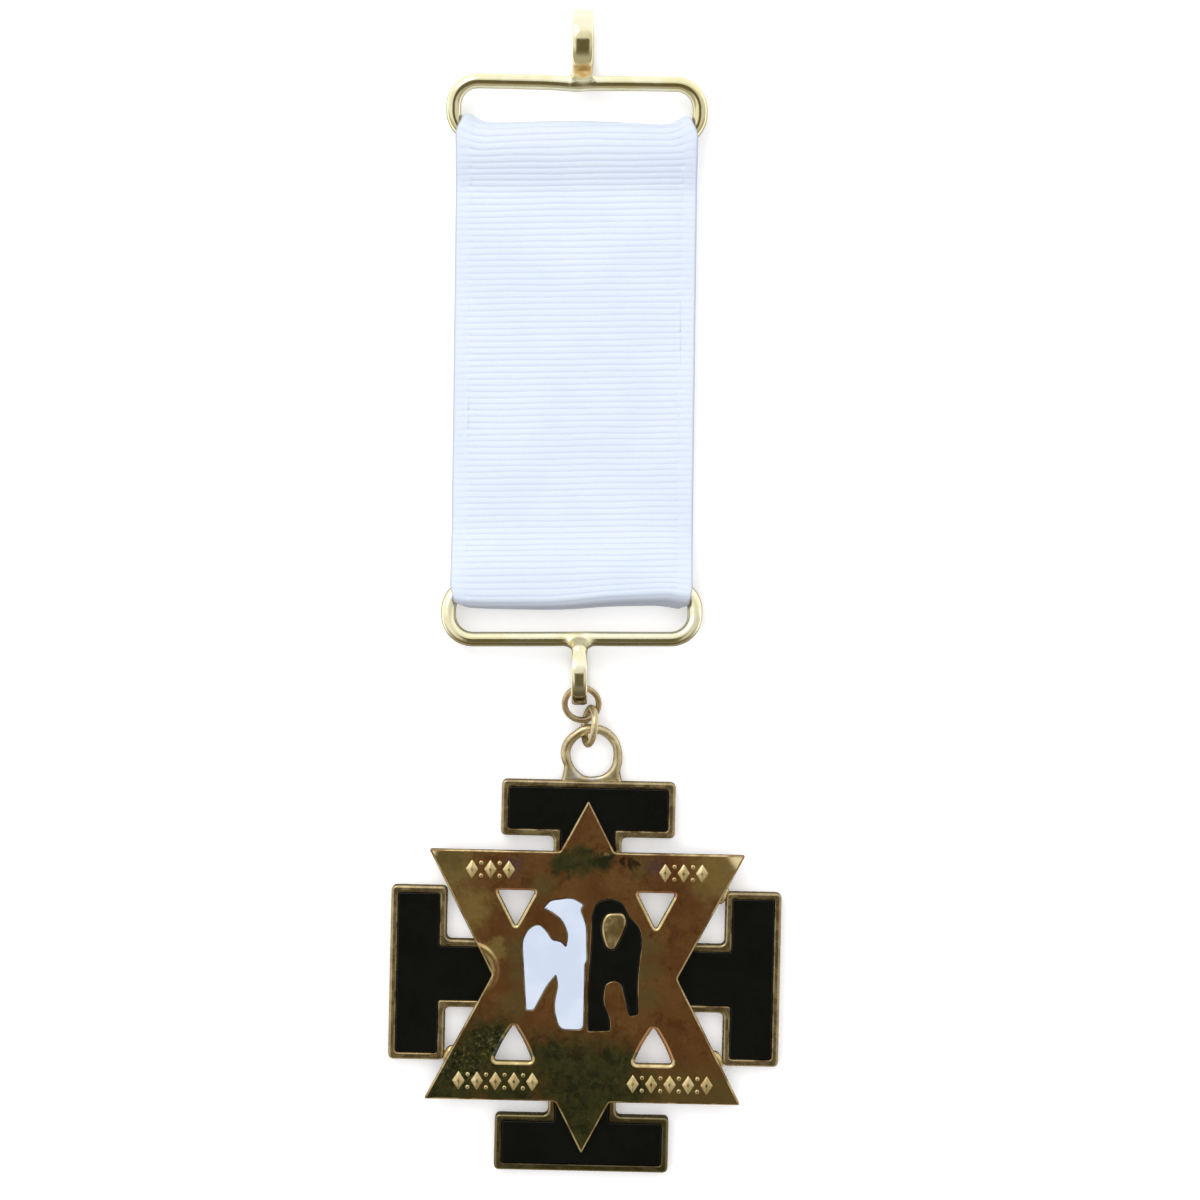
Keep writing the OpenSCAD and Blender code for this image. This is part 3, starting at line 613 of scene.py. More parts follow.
def window_outline(flip_x, flip_y):
    """The star's upper right window, flipped to its place. The lower windows swell a little."""
    top_y = STAR_SHOULDER - BAND_H
    low_y = (BAND_W + WINDOW_RIM) / (2 * EDGE_SLOPE)
    left = (STAR_REACH - top_y) * EDGE_SLOPE + WINDOW_RIM
    right = (STAR_REACH + top_y) * EDGE_SLOPE - BAND_W
    tip = (STAR_REACH - low_y) * EDGE_SLOPE + WINDOW_RIM
    swell = WINDOW_SWELL if flip_y < 0 else 0
    middle_y = (top_y + low_y) / 2
    bend = (top_y - low_y) / 3
    rows = [
        [left, top_y, WINDOW_CORNER], [right, top_y, WINDOW_CORNER],
        [(right + tip) / 2 + swell, middle_y, bend], [tip, low_y, WINDOW_CORNER],
        [(left + tip) / 2 - swell, middle_y, bend],
    ]
    points = rounded(rows, 5) * [flip_x, flip_y]
    return points if flip_x * flip_y > 0 else points[::-1]


def eagle_outline(rows):
    share = EAGLE_H / 100
    return rounded([[x * share, y * share + EAGLE_UP, r * share] for x, y, r in rows], 5)


# Meshes, made in millimetres

# Steps round each rounded edge
EDGE_STEPS = 5
# The rounding of a window's edge on a plate's back
BACK_EDGE = 0.15


def circle(radius, count):
    """Anticlockwise from the right."""
    angles = np.linspace(0, 2 * pi, count, endpoint=False)
    return [(radius * cos(a), radius * sin(a)) for a in angles]


def band(a, b, n):
    """Faces between two rings of n points, whose first points have the numbers a and b."""
    return [(a + i, a + (i + 1) % n, b + (i + 1) % n, b + i) for i in range(n)]


def placed(points, place):
    """The points moved by a matrix."""
    matrix = np.array(place)
    return np.array(points, float) @ matrix[:3, :3].T + matrix[:3, 3]


def add_object(name, data):
    added = bpy.data.objects.new(name, data)
    bpy.context.scene.collection.objects.link(added)
    return added


def make(name, points, faces, materials, place, kinds=None, smooth=None):
    """An object from points in millimetres that rides on the jewel."""
    mesh = bpy.data.meshes.new(name)
    mesh.from_pydata((placed(points, place) * MM).tolist(), [], faces)
    for finish in materials:
        mesh.materials.append(finish)
    mesh.polygons.foreach_set("use_smooth", smooth or [True] * len(mesh.polygons))
    if kinds:
        mesh.polygons.foreach_set("material_index", kinds)
    work = bmesh.new()
    work.from_mesh(mesh)
    bmesh.ops.recalc_face_normals(work, faces=work.faces)
    work.to_mesh(mesh)
    work.free()
    mesh.validate()
    piece = add_object(name, mesh)
    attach(piece, "root")
    return piece


def stand_for(piece, node):
    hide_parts(node)


class Shell:
    """A mesh made of rings of points, with a material number for each face."""

    def __init__(self):
        self.points = []
        self.faces = []
        self.kinds = []
        self.smooth = []

    def ring(self, points, z):
        start = len(self.points)
        self.points += [(float(x), float(y), float(z)) for x, y in points]
        return range(start, start + len(points))

    def face(self, corners, kind, smooth):
        self.faces.append(corners)
        self.kinds.append(kind)
        self.smooth.append(smooth)

    def bridge(self, low, high, kind):
        for corners in band(low[0], high[0], len(low)):
            self.face(corners, kind, True)

    def cap(self, rings, kind):
        flat = [i for ring in rings for i in ring]
        loops = [[Vector(self.points[i]) for i in ring] for ring in rings]
        for triangle in tessellate_polygon(loops):
            self.face(tuple(flat[i] for i in triangle), kind, False)

    def wall(self, outline, z_low, z_high, low_edge, high_edge, sign, kind):
        """Rings up a wall whose ends are rounded into the solid, which lies inside for sign 1."""
        low, high = [(0, z_low)], [(0, z_high)]
        arc = [pi / 2 * k / EDGE_STEPS for k in range(EDGE_STEPS + 1)]
        if low_edge:
            low = [(low_edge * (1 - sin(a)), z_low + low_edge * (1 - cos(a))) for a in arc]
        if high_edge:
            high = [(high_edge * (1 - cos(a)), z_high - high_edge * (1 - sin(a))) for a in arc]
        rings = [self.ring(inset(outline, sign * depth), z) for depth, z in low + high]
        for below, above in zip(rings, rings[1:]):
            self.bridge(below, above, kind)
        return rings[0], rings[-1]


def plate(name, outline, z_low, z_high, edge, materials, back_edge=0.0, windows=(), recesses=()):
    """A flat plate on the cross with rounded edges.

    Windows go through it and are (outline, edge, lit): their walls have the last material below lit, a
    painted highlight where they face the light. A recess is (outline, depth, edge, islands in it) and its
    walls have material 2. An island is (outline, edge), and its top has the last material.
    """
    shell = Shell()
    last = len(materials) - 1
    low, high = shell.wall(outline, z_low, z_high, back_edge, edge, 1, 1)
    backs = [low]
    fronts = [high]
    for window, window_edge, lit in windows:
        first = len(shell.faces)
        low, high = shell.wall(window, z_low, z_high, BACK_EDGE, window_edge, -1, 1)
        for i in range(first, len(shell.faces)):
            # Walls below lit take the last material, a painted highlight where they face the light
            y = sum(shell.points[k][1] for k in shell.faces[i]) / len(shell.faces[i])
            shell.kinds[i] = last if y < lit else 0
        backs.append(low)
        fronts.append(high)
    for recess, depth, recess_edge, islands in recesses:
        # Recess walls take material 2, a darker gilt that paints shade in the recess
        floor, top = shell.wall(recess, z_high - depth, z_high, 0, recess_edge, -1, 2)
        fronts.append(top)
        floors = [floor]
        for island, island_edge in islands:
            foot, crown = shell.wall(island, z_high - depth, z_high, 0, island_edge, 1, 1)
            floors.append(foot)
            shell.cap([crown], last)
        shell.cap(floors, 2)
    shell.cap(backs, 1)
    shell.cap(fronts, 0)
    return make(name, shell.points, shell.faces, materials, CROSS_PLACE, shell.kinds, shell.smooth)


def swept(path, profile):
    """The points and faces of a closed tube round a closed path of (x, y) points.

    The profile's points are (out, up). The path runs anticlockwise, so that out is away from its middle.
    """
    path = np.array(path, float)
    step = np.roll(path, -1, 0) - np.roll(path, 1, 0)
    step /= np.linalg.norm(step, axis=1)[:, None]
    out = np.stack([step[:, 1], -step[:, 0]], 1)
    n, m = len(path), len(profile)
    points = []
    for p, o in zip(path, out):
        points += [(p[0] + o[0] * a, p[1] + o[1] * a, b) for a, b in profile]
    return points, [face for i in range(n) for face in band(i * m, (i + 1) % n * m, m)]


def ellipsoid(radii, place, rings=16, sides=24):
    points = [(0, 0, -1)]
    for i in range(1, rings):
        a = pi * i / rings - pi / 2
        points += [(x, y, sin(a)) for x, y in circle(cos(a), sides)]
    points.append((0, 0, 1))
    top = len(points) - 1
    faces = [face for a in range(1, top - sides, sides) for face in band(a, a + sides, sides)]
    for k in range(sides):
        n = (k + 1) % sides
        faces += [(0, 1 + n, 1 + k), (top - sides + k, top - sides + n, top)]
    return placed(np.array(points) * radii, place), faces


def joined(parts):
    """The points and faces of several meshes as one."""
    points = []
    faces = []
    for part_points, part_faces in parts:
        start = len(points)
        points += list(part_points)
        faces += [tuple(start + i for i in face) for face in part_faces]
    return points, faces


# Steps that smooth the whole of a melted skin, and how far from its joint it flows together after them
SKIN_STEPS = 6
BLEND_REACH = 5
# How many of a skin's random lumps there are to a millimetre
LUMP_SCALE = 0.42


def read(items, key, width, kind):
    """A property of a mesh's vertices or edges, as a table."""
    table = np.zeros(len(items) * width, kind)
    items.foreach_get(key, table)
    return table.reshape(-1, width)


def melted(parts, voxel):
    """The vertices, edges and faces of one skin round overlapping closed meshes."""
    points, faces = joined(parts)
    mesh = bpy.data.meshes.new("rough")
    mesh.from_pydata(points, [], faces)
    rough = add_object("rough", mesh)
    remesh = rough.modifiers.new("melt", "REMESH")
    remesh.mode = "VOXEL"
    remesh.voxel_size = voxel
    skin = bpy.data.meshes.new_from_object(rough.evaluated_get(bpy.context.evaluated_depsgraph_get()))
    bpy.data.objects.remove(rough)
    edges = read(skin.edges, "vertices", 2, int)
    return read(skin.vertices, "co", 3, float), edges, [tuple(face.vertices) for face in skin.polygons]


def fused(name, parts, voxel, finish, place, blend_at, blend_steps, lumps=0.0):
    """Overlapping closed meshes melted into one piece that flows together round blend_at.

    Lumps is how far the skin swells and thins at random.
    """
    table, edges, faces = melted(parts, voxel)
    degree = np.bincount(edges.ravel(), minlength=len(table))[:, None]
    near = np.linalg.norm(table - np.array(blend_at), axis=1)[:, None]
    local = 0.7 * np.clip(1 - near / BLEND_REACH, 0, 1)
    for step in range(SKIN_STEPS + blend_steps):
        total = np.zeros_like(table)
        np.add.at(total, edges[:, 0], table[edges[:, 1]])
        np.add.at(total, edges[:, 1], table[edges[:, 0]])
        share = 0.5 if step < SKIN_STEPS else local
        table += share * (total / degree - table)
    if lumps:
        table += lumps * np.array([noise.noise_vector(Vector(point) * LUMP_SCALE) for point in table])
    return make(name, table, faces, [finish], place)


# The frames

CORNER_STEPS = 24
# How far along the bar the dip at the wire's joint reaches
JOINT_SPREAD = 2.6
WELD_STEPS = 12
WELD_CLIMB = radians(42)
FRAME_VOXEL = 0.15
FRAME_BLEND = 34
# How each ring is soldered: the dip of the bar at the wire's joint, the solder's flare beside the ring, and
# how far it covers the bar, from 0 to 1
UPPER_SOLDERING = (0.35, 0.3, 0.5)
LOWER_SOLDERING = (0.08, 1.05, 1)


def strap_profile(width, thickness, bluntness=0.6, count=48):
    """A strap with a gently crowned face and soft edges, thickness along out and width along up."""
    points = []
    for x, y in circle(1, count):
        x = math.copysign(abs(x) ** bluntness, x)
        y = math.copysign(abs(y) ** bluntness, y)
        points.append((x * thickness / 2, y * width / 2))
    return points


def on_corner(corner, angle):
    """A place on a frame's corner, given as the middle's x and y and the angle where the corner starts."""
    x, y, start = corner
    a = radians(start + angle)
    return x + CORNER_R * cos(a), y + CORNER_R * sin(a)


def frame_path(joint_x, joint_dip):
    """A rounded oblong, anticlockwise from its inner bar on the X axis. Its outer bar dips at the joint."""
    x = FRAME_HALF_W - CORNER_R
    y = FRAME_REACH - CORNER_R
    corners = [(x, CORNER_R, -90), (x, y, 0), (-x, y, 90), (-x, CORNER_R, 180)]
    points = []
    for corner, following in zip(corners, corners[1:] + corners[:1]):
        points += [on_corner(corner, 90 * k / CORNER_STEPS) for k in range(CORNER_STEPS + 1)]
        here, end = points[-1], on_corner(following, 0)
        count = max(2, round(math.dist(here, end) / 0.5))
        for k in range(1, count):
            x, y = (here[i] + (end[i] - here[i]) * k / count for i in (0, 1))
            if y > FRAME_REACH - 0.1:
                y -= joint_dip * math.exp(-abs(x - joint_x) / JOINT_SPREAD)
            points.append((x, y))
    return points


def weld(ring_d, ring_w, off, flare, lap):
    """Lumps of solder that climb from the bar on to the ring, each narrower than the last."""
    joint = move(off - ring_w / 2, FRAME_REACH - 0.35, WIRE_R - 0.25)
    lumps = [ellipsoid((0.5, 0.7, 0.35), joint)]
    if lap == 1:
        base = (ring_w / 2 + flare + 0.3, WIRE_R + 0.04, WIRE_R + 0.04)
        lumps.append(ellipsoid(base, move(off, FRAME_REACH, 0)))
    for step in range(WELD_STEPS):
        share = step / (WELD_STEPS - 1)
        climb = WELD_CLIMB * share
        half_w = ring_w / 2 + flare * (1 - share) ** 2.4
        foot_y = FRAME_REACH + WIRE_R - SOLDER_SINK + 0.3 * (1 - share) * (1 - lap)
        y = foot_y + ring_d / 2 * (1 - cos(climb))
        radii = (half_w, 0.55 + 0.5 * lap - (0.3 + 0.3 * lap) * share, 0.8 - 0.25 * share)
        for side in (-1, 1):
            lumps.append(ellipsoid(radii, move(off, y, side * ring_d / 2 * sin(climb))))
    return lumps


def frame_with_ring(name, ring_size, arm, off, soldering, finish, place):
    ring_d, ring_t, ring_w = ring_size
    dip, flare, lap = soldering
    wire = swept(frame_path(off - ring_w / 3, dip), circle(WIRE_R, 32))
    ring = swept(circle(ring_d / 2 - ring_t / 2, 140), strap_profile(ring_w, ring_t))
    strap = (placed(ring[0], move(off, arm, 0) @ turn(pi / 2, "Y")), ring[1])
    parts = [wire, strap] + weld(ring_d, ring_w, off, flare, lap)
    return fused(name, parts, FRAME_VOXEL, finish, place, (off, FRAME_REACH + 1.2, 1), FRAME_BLEND)


def build_frames(upper, lower):
    for name, ring, arm, off, soldering, finish, place in (
        ("upper_frame", (BAIL_D, BAIL_T, BAIL_W), BAIL_ARM, BAIL_OFF, UPPER_SOLDERING, upper, UPPER_PLACE),
        ("lower_frame", (DROP_D, DROP_T, DROP_W), DROP_ARM, -DROP_OFF, LOWER_SOLDERING, lower, LOWER_PLACE),
    ):
        piece = frame_with_ring(name + "_gilt", ring, arm, off, soldering, finish, place)
        stand_for(piece, name)


def finish_jump_rings(upper, lower):
    """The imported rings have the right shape, so they stay and get their metal."""
    for node, finish in (("jump_ring_upper", upper), ("jump_ring_lower", lower)):
        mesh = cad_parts[node].data
        mesh.materials.clear()
        mesh.materials.append(finish)
        mesh.polygons.foreach_set("use_smooth", [True] * len(mesh.polygons))


# The cross

BODY_EDGE = 0.42
BODY_BACK_EDGE = 0.3
FIELD_EDGE = 0.3
STAR_EDGE = 0.3
HALF_EDGE = 0.12
DROP_EDGE = 0.42
# How far round the cross's ring the solder of its foot climbs, a little further than on the solid, and how
# far it stands proud of the solid on each side
FOOT_CLIMB = radians(66)
FOOT_FILL = 0.21
FOOT_EDGE = 0.45
EYE_VOXEL = 0.11
EYE_BLEND = 110
EYE_LUMPS = 0.2
# Lumps of solder where the star's edges cross the arms: across, up and lean in degrees
SOLDER_SPOTS = [(-21.2, -12.6, -28), (21.2, -12.6, 28), (21.5, 13.1, -28)]
SPOT_RADII = (0.7, 1.5, 0.8)
STUD_EDGE = 0.2
# How far the ornament is let into the face
ORNAMENT_SINK = 0.15
# The lozenge's rings: its share of the outline and its height over the face
LOZENGE_RINGS = ((1, 0.03), (0.94, 0.08), (0.3, 0.23), (0.18, RELIEF))


def foot_outline():
    """The solder at the foot of the cross's ring: up its left side, down along the wire, and back."""
    middle = EYE_D / 2 - EYE_SINK
    wire = (EYE_D - EYE_WIRE) / 2
    climb_y = middle - EYE_D / 2 * cos(FOOT_CLIMB)
    climb_x = EYE_D / 2 * sin(FOOT_CLIMB)
    half = [
        [EYE_FOOT / 2, -0.4, 0.1], [EYE_FOOT / 2, 0, 0.2],
        [(EYE_FOOT / 2 + climb_x) / 2 - 0.1, 0.35 * climb_y, 0.6], [climb_x, climb_y, 0.1],
    ]
    for share in (1, 2 / 3, 1 / 3):
        half.append([wire * sin(FOOT_CLIMB * share), middle - wire * cos(FOOT_CLIMB * share), 0.3])
    return rounded(mirrored(half[::-1]), 3)


def build_eye(brass):
    """The cross's ring with the solder at its foot."""
    ring = swept(circle(EYE_D / 2 - EYE_WIRE / 2, 120), circle(EYE_WIRE / 2, 28))
    lift = move(EYE_OFF, HALF_SPAN, CROSS_T / 2) @ turn(EYE_SLOPE, "X")
    ring = (placed(ring[0], lift @ move(0, EYE_D / 2 - EYE_SINK, 0)), ring[1])
    shell = Shell()
    half_t = EYE_FOOT_T / 2 + FOOT_FILL
    for end in shell.wall(foot_outline(), -half_t, half_t, FOOT_EDGE, FOOT_EDGE, 1, 0):
        shell.cap([end], 0)
    foot = (placed(shell.points, lift), shell.faces)
    blend_at = (EYE_OFF, HALF_SPAN + 1.2, CROSS_T / 2)
    return fused("cross_eye", [ring, foot], EYE_VOXEL, brass, CROSS_PLACE, blend_at, EYE_BLEND, EYE_LUMPS)


def lit_window(flip_x, flip_y):
    """A star window, its bevel's width, and the height below which its bevel has a painted highlight."""
    outline = window_outline(flip_x, flip_y)
    if flip_y > 0:
        return outline, 0.5, outline[:, 1].max() - 0.9
    return outline, 0.65, outline[:, 1].min() + 0.8


def build_cross(border, face, rim, edge, recess_shade, brass):
    fields = [(field_outline(arm), ENAMEL_D, FIELD_EDGE, ()) for arm in range(4)]
    finishes = [border, border, recess_shade]
    body = plate(
        "cross_body", cross_outline(), 0, CROSS_T, BODY_EDGE, finishes, BODY_BACK_EDGE, recesses=fields,
    )
    windows = [lit_window(x, y) for x in (1, -1) for y in (1, -1)]
    halves = [
        (eagle_outline(WHITE_HALF), EAGLE_D, HALF_EDGE, ()),
        (eagle_outline(BLACK_HALF), EAGLE_D, HALF_EDGE, [(eagle_outline(GILT_DROP), DROP_EDGE)]),
    ]
    finishes = [face, edge, recess_shade, rim]
    star = plate(
        "star_plate", star_outline(), CROSS_T, FACE_Z, STAR_EDGE, finishes, windows=windows, recesses=halves,
    )
    for piece in (body, star, build_eye(brass)):
        stand_for(piece, "cross")


def ornament_spots():
    """Places of the lozenges and studs in the star's four bands: x, y and whether it is a stud."""
    y = STAR_SHOULDER - BAND_H / 2 + 0.1
    for x, row_y, count in ((0.61 * STAR_HALF_W, y, 3), (0.55 * STAR_HALF_W, -y, 5)):
        for side in (-1, 1):
            for i in range(count):
                yield side * x + (i - (count - 1) / 2) * LOZENGE_PITCH, row_y, False
            for i in range(count - 1):
                for end in (-1, 1):
                    yield side * x + (i + 1 - count / 2) * LOZENGE_PITCH, row_y + end * LOZENGE_H / 3, True


def build_ornament(rim):
    """Lozenges with a flat tip, and round studs between them."""
    shell = Shell()
    corners = ((0, LOZENGE_H / 2), (LOZENGE_W / 2, 0), (0, -LOZENGE_H / 2), (-LOZENGE_W / 2, 0))
    lozenge = rounded([[x, y, 0.15] for x, y in corners], 2)
    dot = np.array(circle(STUD_D / 2, 20)[::-1])
    for x, y, stud in ornament_spots():
        if stud:
            z = FACE_Z - ORNAMENT_SINK
            low, high = shell.wall(dot + (x, y), z, FACE_Z + RELIEF, 0, STUD_EDGE, 1, 0)
            shell.cap([low], 0)
        else:
            low = shell.ring(lozenge + (x, y), FACE_Z - ORNAMENT_SINK)
            shell.cap([low], 0)
            for share, z in LOZENGE_RINGS:
                high = shell.ring(lozenge * share + (x, y), FACE_Z + z)
                shell.bridge(low, high, 0)
                low = high
        shell.cap([high], 0)
    piece = make("ornament", shell.points, shell.faces, [rim], CROSS_PLACE, shell.kinds, shell.smooth)
    stand_for(piece, "cross")


def build_solder(rim):
    """Small lumps of solder between the star's edges and the arms' corners."""
    lumps = []
    for x, y, lean in SOLDER_SPOTS:
        at = move(x, y, CROSS_T - 0.2) @ turn(radians(lean), "Z")
        lumps.append(ellipsoid(SPOT_RADII, at, 10, 18))
    points, faces = joined(lumps)
    bumpy = [Vector(p) + Vector((0.12, 0.12, 0.08)) * noise.noise(Vector(p) * 1.3) for p in points]
    stand_for(make("solder_spots", bumpy, faces, [rim], CROSS_PLACE), "cross")


def build_enamels(glazes):
    """The fields in the arms and the eagle's halves, each a little smaller than its recess."""
    top = CROSS_T - ENAMEL_LOW
    rows = [
        ("glaze_" + side, field_outline(arm), CROSS_T - ENAMEL_D, top, 0.12, "black", (), "enamel_" + side)
        for arm, side in enumerate(("top", "right", "bottom", "left"))
    ]
    floor = FACE_Z - EAGLE_D
    top = FACE_Z - ENAMEL_LOW
    hole = (inset(eagle_outline(GILT_DROP), -ENAMEL_GAP), 0.1, math.inf)
    rows += [
        ("glaze_white_half", eagle_outline(WHITE_HALF), floor, FACE_Z, 0.2, "white", (), "eagle_white"),
        ("glaze_black_half", eagle_outline(BLACK_HALF), floor, top, 0.15, "black", [hole], "eagle_black"),
    ]
    for name, outline, low, high, edge, colour, windows, node in rows:
        outline = inset(outline, ENAMEL_GAP)
        piece = plate(name, outline, low, high, edge, [glazes[colour]] * 2, windows=windows)
        stand_for(piece, node)


# The ribbon

CLOTH_T = 0.75
RIB_PITCH = 0.983
RIB_STEPS = 6
RIB_DEPTH = 0.095
RIB_WANDER = 0.15
RIB_SKEW = math.tan(radians(1.5))
# Height of the plain selvedge, as a share of the ribs' depth
SELVEDGE_LEVEL = 0.6
STITCH_R = 0.09
STITCH_SIDES = 8
STITCH_IN = 2.35
# Ribs from one stitch to the next
STITCH_EVERY = 3
# No stitches nearer than this to the ends of the ribbon
STITCH_TOP = 7
STITCH_FOOT = 8
# Depth of the dimple at a stitch's end, and height of the slow waves in the front layer
DIMPLE = 0.12
WAVE_H = 0.16
# How strongly the selvedges are shaded, and the foot's fold
EDGE_SHADE = 0.6
FOLD_SHADE = 0.8
# How far to each side a direction along the loop is taken from
AHEAD = 0.15
# Columns across the ribbon: distances from an edge, then even steps
EDGE_COLUMNS = [0, 0.12, 0.35, 0.8, 1.3, 1.8, 2.1, 2.35, 2.6, 2.9, 3.5]
MIDDLE_COLUMNS = 24
# Across the ribbon from 0 to 1: how far the upper and lower folds reach out, and how far the lower one is
# lifted, as shares of the wire's diameter
RIBBON_SECTIONS = [
    [0.00, 0.60, -0.10, 0.24], [0.03, 0.46, 0.02, 0.20], [0.06, 0.20, 0.06, 0.14], [0.10, 0.02, 0.08, 0.08],
    [0.17, 0.01, 0.10, 0.04], [0.28, 0.08, 0.12, 0.00], [0.40, 0.14, 0.12, 0.00], [0.52, 0.16, 0.04, 0.00],
    [0.64, 0.12, -0.12, 0.00], [0.75, 0.06, -0.20, 0.00], [0.84, 0.01, -0.24, 0.04],
    [0.90, 0.00, -0.24, 0.08], [0.94, 0.18, -0.16, 0.14], [0.97, 0.44, -0.08, 0.20],
    [1.00, 0.58, -0.04, 0.24],
]
# How much less the edges are drawn in where the cloth has passed over the wire
UPPER_EASE = 0.35
LOWER_EASE = 0.7
FOLD_R = (LAYER_T + FOLD_PLAY) / 2 + WIRE_R
SEWN_R = (LAYER_T + LAYER_GAP) / 2
LOW_ARC_Y = FOLD_R + LAYER_T / 2
TOP_ARC_Y = RIBBON_L - FOLD_R - LAYER_T / 2


def smooth(x):
    s = np.clip(x, 0, 1)
    return s * s * (3 - 2 * s)


def noise_grid(x, y, z):
    """Noise at each place of two tables and one height, as a table."""
    values = [noise.noise(Vector((px, py, z))) for px, py in zip(x.ravel(), y.ravel())]
    return np.array(values).reshape(x.shape)


def ribbon_path():
    """The loop's middle line: places along and up, and length along it."""
    def upper_layer(y):
        opened = np.maximum(
            1 - smooth((y - LOW_ARC_Y - LOWER_SLACK - WIRE_R) / (MOUTH_L - WIRE_R)),
            1 - smooth((TOP_ARC_Y - y - WIRE_R) / (MOUTH_L - WIRE_R)),
        )
        return LAYER_T / 2 + 2 * (SEWN_R + (FOLD_R - SEWN_R) * opened)
    ys = np.linspace(LOW_ARC_Y, TOP_ARC_Y, 1200)
    bend = np.linspace(-pi / 2, pi / 2, 120)[1:-1]
    middle_z = LAYER_T / 2 + FOLD_R
    y = np.concatenate([
        ys, TOP_ARC_Y + FOLD_R * np.cos(bend), ys[::-1], LOW_ARC_Y - FOLD_R * np.cos(bend),
    ])
    z = np.concatenate([
        np.full(len(ys), LAYER_T / 2), middle_z + FOLD_R * np.sin(bend), upper_layer(ys[::-1]),
        middle_z - FOLD_R * np.sin(bend),
    ])
    step = np.hypot(np.roll(y, -1) - y, np.roll(z, -1) - z)
    return np.append(y, y[0]), np.append(z, z[0]), np.concatenate([[0], np.cumsum(step)])


def across_table(column):
    """One of the section table's columns as a smooth curve across the ribbon."""
    table = np.array(RIBBON_SECTIONS)
    places, values = table[:, 0], table[:, column]
    slopes = np.gradient(values, places)
    def draw(u):
        i = np.clip(np.searchsorted(places, u, side="right") - 1, 0, len(places) - 2)
        h = places[i + 1] - places[i]
        t = (u - places[i]) / h
        return (
            (2 * t ** 3 - 3 * t ** 2 + 1) * values[i] + (t ** 3 - 2 * t ** 2 + t) * h * slopes[i]
            + (3 * t ** 2 - 2 * t ** 3) * values[i + 1] + (t ** 3 - t ** 2) * h * slopes[i + 1]
        )
    return draw


class Ribbon:
    """Places on the ribbon from a length along the loop and a distance across it, both in millimetres."""

    def __init__(self):
        self.y, self.z, self.length = ribbon_path()
        self.total = self.length[-1]
        self.ribs = round(self.total / RIB_PITCH)
        self.pitch = self.total / self.ribs
        self.top, self.low, self.lift = (across_table(column) for column in (1, 2, 3))
        self.matrix = move(*RIBBON_TOP) @ turn(-RIBBON_LEAN, "Z")

    def middle(self, s):
        """The middle line's place along and up at lengths s."""
        wrapped = np.mod(s, self.total)
        return np.interp(wrapped, self.length, self.y), np.interp(wrapped, self.length, self.z)

    def at(self, s, x, out):
        """Points at lengths s and places x from the middle, out millimetres off the solid's outer face."""
        y, z = self.middle(s)
        ahead_y, ahead_z = self.middle(s + AHEAD)
        behind_y, behind_z = self.middle(s - AHEAD)
        dy, dz = ahead_y - behind_y, ahead_z - behind_z
        size = np.hypot(dy, dz)
        y = y + dz / size * (out + LAYER_T / 2)
        z = z - dy / size * (out + LAYER_T / 2)
        u = x / RIBBON_W + 0.5
        near_top = smooth((y - TOP_ARC_Y + MOUTH_L / 2) / (MOUTH_L / 2))
        near_low = smooth((LOW_ARC_Y + MOUTH_L / 2 - y) / (MOUTH_L / 2))
        in_top = smooth((y - TOP_ARC_Y + WIRE_R) / (FOLD_R + WIRE_R))
        in_low = smooth((LOW_ARC_Y + WIRE_R - y) / (FOLD_R + WIRE_R))
        high = smooth((z - LAYER_T) / (2 * FOLD_R - LAYER_T))
        over_wire = smooth((z - BAR_Z - WIRE_R + 0.5) / 0.8)
        pull = UPPER_PULL * in_top * (1 - UPPER_EASE * over_wire)
        pull = pull + LOWER_PULL * in_low * (1 - LOWER_EASE * over_wire)
        y = y + WIRE_D * (self.top(u) * near_top - self.low(u) * near_low)
        z = z + WIRE_D * high * (self.lift(u) * near_low + self.top(u) * sin(UPPER_TILT) * near_top)
        x = x * (1 - pull / (RIBBON_W / 2))
        return np.stack([x, y - RIBBON_L, z], -1)

    def rib(self, s, x):
        """Height of the ribs at a place, as a share of their depth. They fade at the selvedge and the top."""
        wave = np.abs(np.sin(np.pi * s / self.pitch)) ** 0.75
        from_edge = RIBBON_W / 2 - np.abs(x)
        share = (0.42 + 0.58 * smooth((from_edge - STITCH_IN + 0.4) / 0.8)) * smooth(from_edge / 0.6)
        share = share * (1 - 0.75 * smooth((self.middle(s)[0] - TOP_ARC_Y - 0.2) / 1.3))
        return share * wave + (1 - share) * SELVEDGE_LEVEL

    def dimples(self, s, from_edge):
        """1 where a stitch's thread pulls the cloth in, and 0 away from there."""
        every = self.pitch * STITCH_EVERY
        beside = s - np.round(s / every) * every
        return np.exp(-((from_edge - STITCH_IN) ** 2 + beside ** 2) / 0.14)


def loop_faces(n, m):
    """Faces of a closed loop of n rows and m columns, with an outer layer, an under layer and two edges."""
    far = n * m
    faces = []
    for i in range(n):
        a, b = i * m, (i + 1) % n * m
        for k in range(m - 1):
            faces.append((a + k, a + k + 1, b + k + 1, b + k))
            faces.append((far + a + k, far + b + k, far + b + k + 1, far + a + k + 1))
        faces.append((a, b, far + b, far + a))
        faces.append((a + m - 1, far + a + m - 1, far + b + m - 1, b + m - 1))
    return faces


